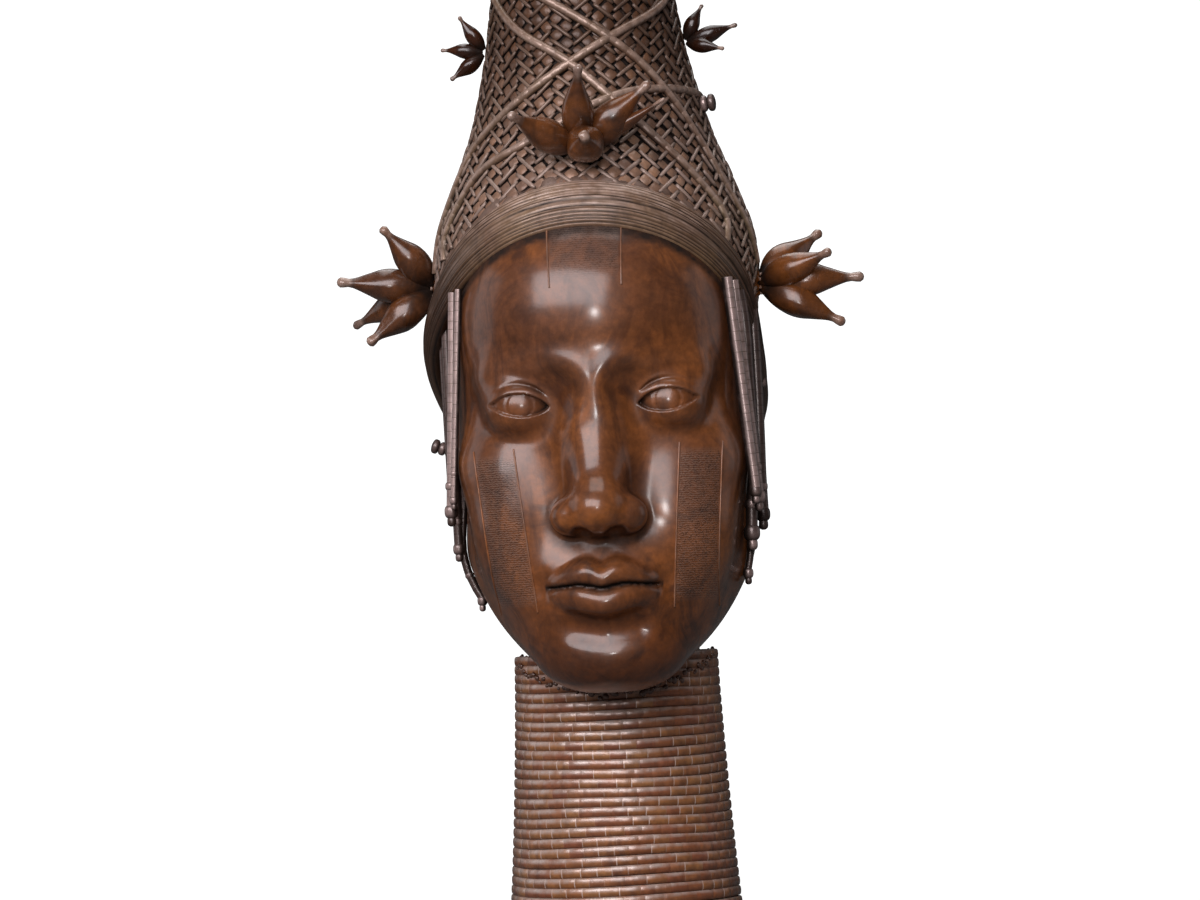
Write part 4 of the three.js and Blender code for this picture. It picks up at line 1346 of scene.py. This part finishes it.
def make_net(settings):
    """Tubular beads woven two over two under, in two diagonal directions."""
    sizes = settings.net
    lattice = NetLattice(sizes)
    random = np.random.default_rng(sizes.seed)
    a, b = lattice.crossings()
    rows = []
    for kept, da, db, side in (((a + b) % 4 == 0, 0.5, 0.0, 1.0), ((a + b) % 4 == 2, 0.0, 0.5, -1.0)):
        ca, cb = a[kept] + da, b[kept] + db
        count = len(ca)
        arc = lattice.across * (ca + cb) + random.uniform(-0.35, 0.35, count)
        rise = lattice.up * (ca - cb) + random.uniform(-0.3, 0.3, count)
        half = sizes.cover * (1 + random.uniform(-0.1, 0.06, count))
        slope = side * (1 + random.uniform(-0.10, 0.10, count))
        rows.append(np.stack([arc, rise, half * lattice.across, half * lattice.up * slope]))
    rows = np.hstack(rows)
    chosen, turn = lattice.on_net(rows[0], lattice.height(rows[1]), 12)
    arc, rise, arc_half, rise_half = rows[:, chosen]
    ends = []
    for sign in (-1, 1):
        z = np.minimum(lattice.height(rise + sign * rise_half), HEIGHT - 4)
        ends.append(cap_point(lattice.turn_at(arc + sign * arc_half, z), z, sizes.lift / MM))
    z = lattice.height(rise)
    beads = []
    for p, q, n, wear in zip(*ends, cap_frame(turn, z)[3], brow_wear(turn, z)):
        size = sizes.bar_radius / MM * random.uniform(0.92, 1.1) * (1 + 0.2 * wear)
        lift = 0.3 - wear * random.uniform(0.1, 0.75)
        beads.append(((p + q) / 2 + lift * n, q - p, n, np.linalg.norm(q - p), size, size))
    material = net_finish(settings.looks)
    finish_piece(bead_rows("cap_net", beads, material, 8, 4, 0.4, 12.0), material)


def make_squares(settings):
    """The worn squares that fill the meshes of the net."""
    sizes = settings.net
    lattice = NetLattice(sizes)
    random = np.random.default_rng(sizes.seed + 1)
    a, b = lattice.crossings()
    arc, z = lattice.across * (a + b + 1), lattice.height(lattice.up * (a - b))
    chosen, turn = lattice.on_net(arc, z, 14)
    z = z[chosen]
    place, around, rising, out = cap_frame(turn, z)
    strand = unit(lattice.across * around + lattice.up * rising)
    half, tall, foot = sizes.square / MM, sizes.square_height / MM, sizes.sink / MM
    beads = []
    for p, way, n, wear in zip(place, strand, out, brow_wear(turn, z)):
        top = tall + random.uniform(-0.35, 0.15) + wear * random.uniform(-0.1, 0.9)
        wide, long = half * (random.uniform(0.88, 1.04, 2) + 0.22 * wear)
        beads.append((p + n * (top - foot) / 2, n, way, top + foot, wide, long))
    material = square_finish(settings.looks)
    finish_piece(bead_rows("net_squares", beads, material, 8, 3, 0.3, 6.0, 0.28), material)


def make_ribs(settings):
    """Raised rows of long beads that cross over the net."""
    sizes = settings.ribs
    random = np.random.default_rng(11)
    tubes = Tubes(14)
    for places in RIBS:
        turn, z = catmull_rom([(math.radians(angle), z) for angle, z in places], 240).T
        path, outs = cap_point(turn, z, sizes.lift / MM), cap_frame(turn, z)[3]
        tubes.along(path, outs, sizes.radius / MM, sizes.bead_length / MM, random, 0.06)
    finish_piece(tubes.make("cap_ribs"), rib_finish(settings.looks))


def pear_bead(seat, way, length, width, random):
    """Points, faces, rubbed share and hollowness of one pear-shaped bead with a knob at its tip."""
    t, r = catmull_rom(PEAR_OUTLINE, PEAR_ROWS).T
    axis = unit(np.asarray(way, float))
    side = unit(np.cross(axis, (0.13, 0.2, 1.0)))
    other = np.cross(axis, side)
    angle = np.linspace(0, FULL_TURN, PEAR_SIDES, endpoint=False)
    wobble = np.ones((PEAR_ROWS, PEAR_SIDES))
    for n in (2, 3, 4):
        s, c = random.normal(0, 0.03, 2)
        wobble += s * np.sin(n * angle) * np.cos(4 * t)[:, None]
        wobble += c * np.cos(n * angle) * np.sin(5 * t)[:, None]
    bend = 0.05 * length * np.sin(math.pi * t) * random.uniform(-1, 1)
    ring = side * np.cos(angle)[:, None] + other * np.sin(angle)[:, None]
    centre = seat + axis * (t * length)[:, None] + side * bend[:, None]
    rings = centre[:, None] + ring[None] * ((r * width / 2)[:, None] * wobble)[..., None]
    points, faces = skin(rings, seat, seat + axis * length)
    raised = np.append(np.repeat(0.75 * ramp(t, 0.80, 0.88), PEAR_SIDES), [0, 0.8])
    # Dark roots, partly soiled patina and partly painted shade near the cap, and a dark ring in the knob's
    # neck.
    hollow = ramp(t, 0.42, 0.10) ** 1.2 + 0.55 * np.exp(-((t - 0.83) / 0.03) ** 2)
    hollow = np.append(np.repeat(np.clip(hollow, 0, 1), PEAR_SIDES), [1, 0])
    return points, faces, raised, hollow


def make_sprays(settings):
    """Five sprays of pear-shaped beads that stand off the cap, each on a seat of small beads."""
    random = np.random.default_rng(23)
    pears = []
    for turn, z, beads in SPRAYS:
        turn = math.radians(turn)
        seat = cap_point(turn, z, 1.0)
        for lift, swing, length, width in beads:
            tilt = math.radians(lift)
            way = outward(turn + math.radians(swing)) * math.cos(tilt) + (0, 0, math.sin(tilt))
            width *= random.uniform(0.95, 1.02)
            pears.append(pear_bead(seat + SPRAY_ROOT * way, way, length - SPRAY_ROOT, width, random))
        out = cap_frame(turn, z)[3]
        wide = beads[0][3]
        for angle in np.linspace(0, FULL_TURN, SEAT_BEADS, endpoint=False):
            across = outward(turn + math.pi / 2) * math.cos(angle) + (0, 0, math.sin(angle))
            where = seat + across * wide * 0.3 - 3.5 * out
            pears.append(pear_bead(where, out, wide * 0.4, wide * 0.4, random))
    points, faces = join_parts([pear[:2] for pear in pears])
    marks = {key: np.concatenate([pear[k] for pear in pears]) for k, key in ((2, "raised"), (3, "hollow"))}
    finish_piece(new_mesh_object("bead_sprays", points, faces, marks), spray_finish(settings.looks))


def string_path(side, y, top, bottom, radius, cling):
    """A string that hangs clear of the head, straight or, as far as it clings, along it."""
    z = np.linspace(top, bottom, 60)
    x = np.linspace(20, 110, 400)
    touching = []
    for level in z:
        inside = head_distance(x, np.full_like(x, y), np.full_like(x, level)) < radius + STRING_GAP
        touching.append(x[inside].max(initial=20.0))
    touching = np.array(touching)
    straight = np.linspace(0, 1, len(z)) * (touching[-12:].max() - touching[0])
    straight += (touching - straight).max()
    x = shift_at(z) + side * (straight + (touching - straight) * cling)
    return np.stack([x, np.full_like(z, y), z], axis=1)


def make_strings(settings):
    """Bead strings that hang from the headband beside the face, and the knobs near them."""
    random = np.random.default_rng(31)
    tubes, knobs = Tubes(16), []
    for side, y, top, bottom, radius, knob, cling in STRINGS:
        path = string_path(side, y, top, bottom, radius, cling)
        out, down = (0.75 * side, -0.66, 0.0), (0.0, 0.0, -1.0)
        # Painted light: strings at the front take the lit tone, those further back the shaded tone.
        light = LIT_TONE[side] if y < FRONT_STRINGS else SHADED_TONE
        bead_length = settings.strings.bead_length / MM
        tubes.along(path, out, radius, bead_length, random, 0.0, light)
        high = path[np.searchsorted(-path[:, 2], -(bottom + 11))]
        for place, length, wide in (
            (path[-1] - (0, 0, 0.5 * knob), 2.1, 1.0),
            (path[-1] - (0, 0, 1.9 * knob), 1.5, 0.66),
            (high, 1.5, 0.9),
        ):
            knobs.append((place, down, out, length * knob, wide * knob, wide * knob))
    for start, end, root, tip in KNOBS:
        start, way = np.array(start, float), np.subtract(end, start)
        length = np.linalg.norm(way)
        discs = max(2, round(length / KNOB_DISC))
        for k in range(discs):
            share = (k + 0.5) / discs
            size = root + (tip - root) * share
            knobs.append((start + way * share, way, (0, -1, 0), length / discs * 1.12, size, size))
    material = string_finish(settings.looks)
    finish_piece(tubes.make("hanging_strings"), material)
    finish_piece(bead_rows("string_knobs", knobs, material, 18, 12, 0.9, 3.0), material)


def collar_radius(z):
    low = np.maximum(1 - z / COLLAR_TOP, 0)
    return COLLAR_TOP_RADIUS + (COLLAR_FOOT_RADIUS - COLLAR_TOP_RADIUS) * low ** COLLAR_FLARE


def make_collar_core(settings):
    """The plain core of the collar, which shows in its grooves and as its foot rim, painted dark as shade in
    the grooves.
    """
    depth = settings.collar.ring_depth / MM
    rim = [(0.0, -0.6), (0.8, 0.0), (FOOT_RIM - 1.2, 0.0), (FOOT_RIM - 0.3, -0.5), (FOOT_RIM, -depth)]
    wall = [(z, -depth) for z in np.linspace(FOOT_RIM + 2, COLLAR_TOP - 1.6, 60)]
    profile = [(z, collar_radius(z) + more) for z, more in rim + wall]
    profile += [(COLLAR_TOP - 0.5, COLLAR_TOP_RADIUS - depth - 0.4)]
    profile += [(COLLAR_TOP - 0.2, COLLAR_TOP_RADIUS - 3)]
    z, radius = np.array(profile).T[..., None]
    turn = np.linspace(0, FULL_TURN, 180, endpoint=False)
    rings = outward(turn) * radius[..., None] + z[..., None] * (0, 0, 1)
    points, faces = skin(rings, (0, 0, 0), (0, 0, COLLAR_TOP - 0.2))
    # Painted shade: all of the core but the middle of the foot rim goes dark.
    low = np.repeat(np.abs(z - FOOT_RIM / 2) > FOOT_RIM / 2 - 0.3, len(turn)) * 0.9
    marks = {"hollow": np.append(low, [1, 1]), "raised": np.append(0.2 * (1 - low), [0, 0])}
    finish_piece(new_mesh_object("collar_core", points, faces, marks), band_finish(settings.looks))


def make_collar_rings(settings):
    """Rings of beads stacked on the core, a little wavy and rising at the sides."""
    sizes = settings.collar
    random = np.random.default_rng(sizes.seed)
    pitch = (COLLAR_TOP - FOOT_RIM) / sizes.rings
    tubes = Tubes(12, 0.65)

    def waves(counts, size, drift):
        return [(n, random.normal(0, size / n), random.uniform(0, 6.28), drift) for n in counts]

    shared = waves((1, 2, 3), sizes.waviness / MM, 0.0) + waves((2, 3, 5), 0.8 * sizes.waviness / MM, 0.35)
    for ring in range(sizes.rings):
        level = FOOT_RIM + pitch * (ring + 0.5)
        radius = collar_radius(level)
        own = waves((2, 4, 7, 11), 0.1, 0.0)
        calm = min(1.0, ring / 4, (sizes.rings - 1 - ring) / 3)
        place, joint, tone = bead_stations(FULL_TURN * radius, sizes.bead_length / MM, random, True)
        turn = place / radius + random.uniform(0, FULL_TURN)
        z = level + calm * sizes.side_rise / MM * np.sin(turn) ** 8
        for n, size, phase, drift in shared + own:
            z += calm * size * np.sin(n * turn + phase + drift * ring)
        outs = outward(turn)
        path = outs * (radius - RING_RADIUS - 0.02) + z[:, None] * (0, 0, 1)
        wide = RING_RADIUS - 0.12 * joint + 0.05 * (tone - 0.5)
        tubes.keep(path, outs, wide, np.full(len(turn), pitch * 0.525), joint, tone, True)
    finish_piece(tubes.make("collar_rings"), collar_finish(settings.looks))


def make_jaw_beads(settings):
    """Small ragged beads where the head is set on its collar, lower under the chin."""
    random = np.random.default_rng(41)
    beads = []
    for k in range(JAW_BEADS):
        turn = FULL_TURN * k / JAW_BEADS + random.uniform(-0.012, 0.012)
        front = max(0.0, math.cos(turn))
        z = COLLAR_TOP - 1.0 - JAW_DROP * front ** 1.6 + random.uniform(-1.6, 1.6)
        radius = collar_radius(z) - 0.2 - 2.2 * (1 - min(1.0, 3 * front))
        out = outward(turn)
        along = (math.cos(turn), math.sin(turn), random.uniform(-1.2, 1.2))
        size = random.uniform(0.7, 1.5) * (0.7 + 0.3 * front)
        long = 2.6 * size * random.uniform(0.8, 1.2)
        beads.append((out * radius + (0, 0, z), along, out, long, size, size))
    material = jaw_finish(settings.looks)
    finish_piece(bead_rows("jaw_beads", beads, material, 12, 8, 0.98, 2.5), material)


# Stage

def facing_from(place, aim):
    """The turn of a lamp or camera that looks from one point at another."""
    return (Vector(aim) - Vector(place)).to_track_quat("-Z", "Y")


def make_floor(stage):
    """A pale floor that looks white to the camera and gives off no light."""
    mesh = bpy.data.meshes.new("floor")
    far = stage.floor_size / 2
    mesh.from_pydata([(-far, -far, 0), (far, -far, 0), (far, far, 0), (-far, far, 0)], [], [(0, 1, 2, 3)])
    floor = new_object("floor", mesh)
    material = bpy.data.materials.new("pale_floor")
    material.use_nodes = True
    tree = material.node_tree
    shader = tree.nodes["Principled BSDF"].inputs
    shader["Base Color"].default_value = (0.12, 0.12, 0.12, 1)
    shader["Roughness"].default_value = 0.9
    shader["Emission Color"].default_value = (1, 1, 1, 1)
    seen = add(tree, "ShaderNodeLightPath").outputs["Is Camera Ray"]
    tree.links.new(maths(tree, "MULTIPLY", seen, 0.95), shader["Emission Strength"])
    floor.data.materials.append(material)


def make_backdrop(stage):
    """A white world that is bright to the camera and lights the head only a little."""
    world = bpy.data.worlds.new("studio")
    world.use_nodes = True
    tree = world.node_tree
    background = tree.nodes["Background"].inputs
    background["Color"].default_value = (1, 1, 1, 1)
    seen = add(tree, "ShaderNodeLightPath").outputs["Is Camera Ray"]
    strength = ranged(tree, seen, 0.0, 1.0, stage.world_fill, stage.backdrop)
    tree.links.new(strength, background["Strength"])
    bpy.context.scene.world = world
    bpy.context.scene.view_settings.view_transform = "Standard"


def make_stage(settings):
    """Floor, backdrop, soft lights and the photograph's camera."""
    stage = settings.stage
    make_floor(stage)
    make_backdrop(stage)
    for name, place, size, power, colour in LIGHTS:
        data = bpy.data.lights.new(name, "AREA")
        data.shape = "RECTANGLE"
        data.size, data.size_y = size
        data.energy = power * stage.key_light
        data.color = colour
        light = new_object(name, data)
        light.location = place
        light.rotation_euler = facing_from(place, LIT_POINT).to_euler()
    data = bpy.data.cameras.new("photo_camera")
    data.sensor_width = 36.0
    data.lens = stage.lens
    camera = new_object("photo_camera", data)
    place, aim = Vector(CAMERA_PLACE) * MM, Vector(CAMERA_AIM) * MM
    camera.location = place
    roll = Matrix.Rotation(math.radians(CAMERA_ROLL), 4, (aim - place).normalized())
    camera.rotation_euler = (roll @ facing_from(place, aim).to_matrix().to_4x4()).to_euler()
    bpy.context.scene.camera = camera


# Settings, operators and panel

def length(name, description, millimetres):
    return FloatProperty(name=name, description=description, default=millimetres * MM, unit="LENGTH")


def number(name, description, default):
    return FloatProperty(name=name, description=description, default=default)


def whole(name, description, default, low=0):
    return IntProperty(name=name, description=description, default=default, min=low)


def colour(name, description, default):
    return FloatVectorProperty(
        name=name, description=description, subtype="COLOR", size=3, min=0, max=1, default=default)


class NetSizes(bpy.types.PropertyGroup):
    step_across: length("Step across", "How far around the cap one strand lies from the next", 4.6)
    step_up: length("Step up", "How far up the cap one strand lies from the next", 3.9)
    cover: number("Bar cover", "Half length of a bar, in steps", 1.02)
    bar_radius: length("Bar radius", "Radius of one tubular bead of the net", 0.95)
    lift: length("Bar lift", "Height of a bar's ends over the cap's surface", 0.25)
    sink: length("Ground depth", "How far the ground lies below the cap's surface", 0.9)
    square: length("Square", "Half the width of the worn square in one mesh", 2.55)
    square_height: length("Square height", "Height of the squares over the cap's surface", 0.4)
    seed: whole("Seed", "Changes how the bars stray from their places", 5)


class BandSizes(bpy.types.PropertyGroup):
    strands: whole("Strands", "Strands side by side on the headband", 15, 3)
    half_height: length("Half height", "Half the height of the headband", 11.6)
    half_thickness: length("Half thickness", "Half the thickness of the headband", 4.6)
    groove: length("Groove", "Depth of the grooves between strands", 1.15)


class RibSizes(bpy.types.PropertyGroup):
    radius: length("Radius", "Radius of the raised rows of beads", 2.1)
    lift: length("Lift", "Height of their middle over the cap", 0.6)
    bead_length: length("Bead length", "Mean length of one bead", 6.0)


class StringSizes(bpy.types.PropertyGroup):
    bead_length: length("Bead length", "Mean length of one bead", 4.5)


class CollarSizes(bpy.types.PropertyGroup):
    rings: whole("Rings", "Rings of beads in the collar", 30, 3)
    bead_length: length("Bead length", "Mean length of one bead", 8.0)
    ring_depth: length("Ring depth", "Depth of the groove between rings", 1.7)
    waviness: length("Waviness", "How far the rings stray up and down", 0.45)
    side_rise: length("Side rise", "How far the rings rise at the sides", 1.2)
    seed: whole("Seed", "Changes where the beads of each ring meet", 3)


class Looks(bpy.types.PropertyGroup):
    face: colour("Face", "Main brown of the face", (0.150, 0.048, 0.016))
    face_warm: colour("Face, warm", "Orange brown where the face is worn", (0.36, 0.108, 0.018))
    face_dark: colour("Face, dark", "Dark patches of the face", (0.030, 0.008, 0.003))
    net: colour("Net", "Taupe brown of the cap's net", (0.20, 0.115, 0.080))
    bar: colour("Net bars", "Paler taupe of the net's bars", (0.26, 0.18, 0.15))
    bar_warm: colour("Net bars, warm", "Tan patches of the net's bars", (0.29, 0.195, 0.125))
    square_warm: colour("Net squares, warm", "Copper brown of some squares", (0.37, 0.175, 0.085))
    band: colour("Headband", "Tan brown of the headband and ribs", (0.165, 0.085, 0.052))
    band_warm: colour("Headband, warm", "Golden patches of the headband", (0.31, 0.19, 0.095))
    rib_warm: colour("Ribs, warm", "Golden patches of the ribs", (0.25, 0.17, 0.095))
    spray: colour("Sprays", "Dark brown of the sprays and strings", (0.095, 0.036, 0.018))
    collar: colour("Collar", "Reddish brown of the collar", (0.34, 0.105, 0.048))
    collar_warm: colour("Collar, warm", "Amber brown of some of its beads", (0.42, 0.18, 0.062))
    # Strings: the lilac grey is a painted sheen for the lit strings.
    string: colour("Strings", "Silvery brown of the hanging strings", (0.26, 0.182, 0.164))
    # Pale: a painted sheen along the upper side of the collar's rings, and the pale of their worn joints.
    pale: colour("Pale", "Pale film on rings and joints", (0.52, 0.39, 0.335))
    # Rubbed metal; on the headband's upper half it also stands for a painted highlight.
    rubbed: colour("Rubbed metal", "Pale metal where it is rubbed", (0.36, 0.25, 0.20))
    # Dark colour of the hollows: soiled patina and painted shade.
    dirt_and_shade: colour("Dirt", "Dirt in the hollows", (0.013, 0.006, 0.0035))


class StageSizes(bpy.types.PropertyGroup):
    floor_size: length("Floor size", "Length of the floor's side", 1600.0)
    key_light: number("Light", "Scales all the lights", 1.0)
    world_fill: number("Fill", "Soft light from all sides", 0.05)
    backdrop: number("Backdrop", "Brightness of the backdrop as the camera sees it", 1.2)
    lens: FloatProperty(
        name="Lens", description="Focal length in millimetres", default=170.5, subtype="DISTANCE_CAMERA")


class BronzeHeadSettings(bpy.types.PropertyGroup):
    net: PointerProperty(type=NetSizes)
    band: PointerProperty(type=BandSizes)
    ribs: PointerProperty(type=RibSizes)
    strings: PointerProperty(type=StringSizes)
    collar: PointerProperty(type=CollarSizes)
    looks: PointerProperty(type=Looks)
    stage: PointerProperty(type=StageSizes)


def build(context, *makers):
    """Makes the pieces of one operator from the scene's settings."""
    for make in makers:
        make(context.scene.bronze_head)
    return {"FINISHED"}


class BRONZEHEAD_OT_face(bpy.types.Operator):
    """Builds the polished head with its face and ears"""
    bl_idname = "bronze_head.face"
    bl_label = "Head and face"

    def execute(self, context):
        return build(context, make_head, make_panel_lines)


class BRONZEHEAD_OT_headband(bpy.types.Operator):
    """Builds the headband of fine strands"""
    bl_idname = "bronze_head.headband"
    bl_label = "Headband"

    def execute(self, context):
        return build(context, make_band)


class BRONZEHEAD_OT_cap(bpy.types.Operator):
    """Builds the cap's ground and the net of beads on it"""
    bl_idname = "bronze_head.cap"
    bl_label = "Netted cap"

    def execute(self, context):
        return build(context, make_cap, make_net, make_squares)


class BRONZEHEAD_OT_ribs(bpy.types.Operator):
    """Builds the raised rows of beads over the net"""
    bl_idname = "bronze_head.ribs"
    bl_label = "Cap ribs"

    def execute(self, context):
        return build(context, make_ribs)


class BRONZEHEAD_OT_sprays(bpy.types.Operator):
    """Builds the sprays of pear-shaped beads"""
    bl_idname = "bronze_head.sprays"
    bl_label = "Bead sprays"

    def execute(self, context):
        return build(context, make_sprays)


class BRONZEHEAD_OT_strings(bpy.types.Operator):
    """Builds the bead strings beside the face, and the knobs near them"""
    bl_idname = "bronze_head.strings"
    bl_label = "Bead strings"

    def execute(self, context):
        return build(context, make_strings)


class BRONZEHEAD_OT_collar(bpy.types.Operator):
    """Builds the collar of stacked bead rings and the small beads under the jaw"""
    bl_idname = "bronze_head.collar"
    bl_label = "Collar"

    def execute(self, context):
        return build(context, make_collar_core, make_collar_rings, make_jaw_beads)


class BRONZEHEAD_OT_stage(bpy.types.Operator):
    """Builds the floor, the lights and the camera"""
    bl_idname = "bronze_head.stage"
    bl_label = "Stage"

    def execute(self, context):
        return build(context, make_stage)


OPERATORS = (
    BRONZEHEAD_OT_face,
    BRONZEHEAD_OT_headband,
    BRONZEHEAD_OT_cap,
    BRONZEHEAD_OT_ribs,
    BRONZEHEAD_OT_sprays,
    BRONZEHEAD_OT_strings,
    BRONZEHEAD_OT_collar,
    BRONZEHEAD_OT_stage,
)
GROUPS = (NetSizes, BandSizes, RibSizes, StringSizes, CollarSizes, Looks, StageSizes, BronzeHeadSettings)


class BRONZEHEAD_PT_panel(bpy.types.Panel):
    """Lists the steps that build the bronze head"""
    bl_idname = "BRONZEHEAD_PT_panel"
    bl_label = "Bronze royal head"
    bl_space_type = "VIEW_3D"
    bl_region_type = "UI"
    bl_category = "Bronze head"

    def draw(self, context):
        for operator in OPERATORS:
            self.layout.operator(operator.bl_idname)
        settings = context.scene.bronze_head
        for group in (getattr(settings, key) for key in settings.__annotations__):
            box = self.layout.box()
            for key in group.__annotations__:
                box.prop(group, key)


CLASSES = (*GROUPS, *OPERATORS, BRONZEHEAD_PT_panel)


def register():
    for each in CLASSES:
        bpy.utils.register_class(each)
    bpy.types.Scene.bronze_head = PointerProperty(type=BronzeHeadSettings)


def unregister():
    del bpy.types.Scene.bronze_head
    for each in reversed(CLASSES):
        bpy.utils.unregister_class(each)


def main():
    register()
    for operator in OPERATORS:
        group, name = operator.bl_idname.split(".")
        getattr(getattr(bpy.ops, group), name)()


if __name__ == "__main__":
    main()
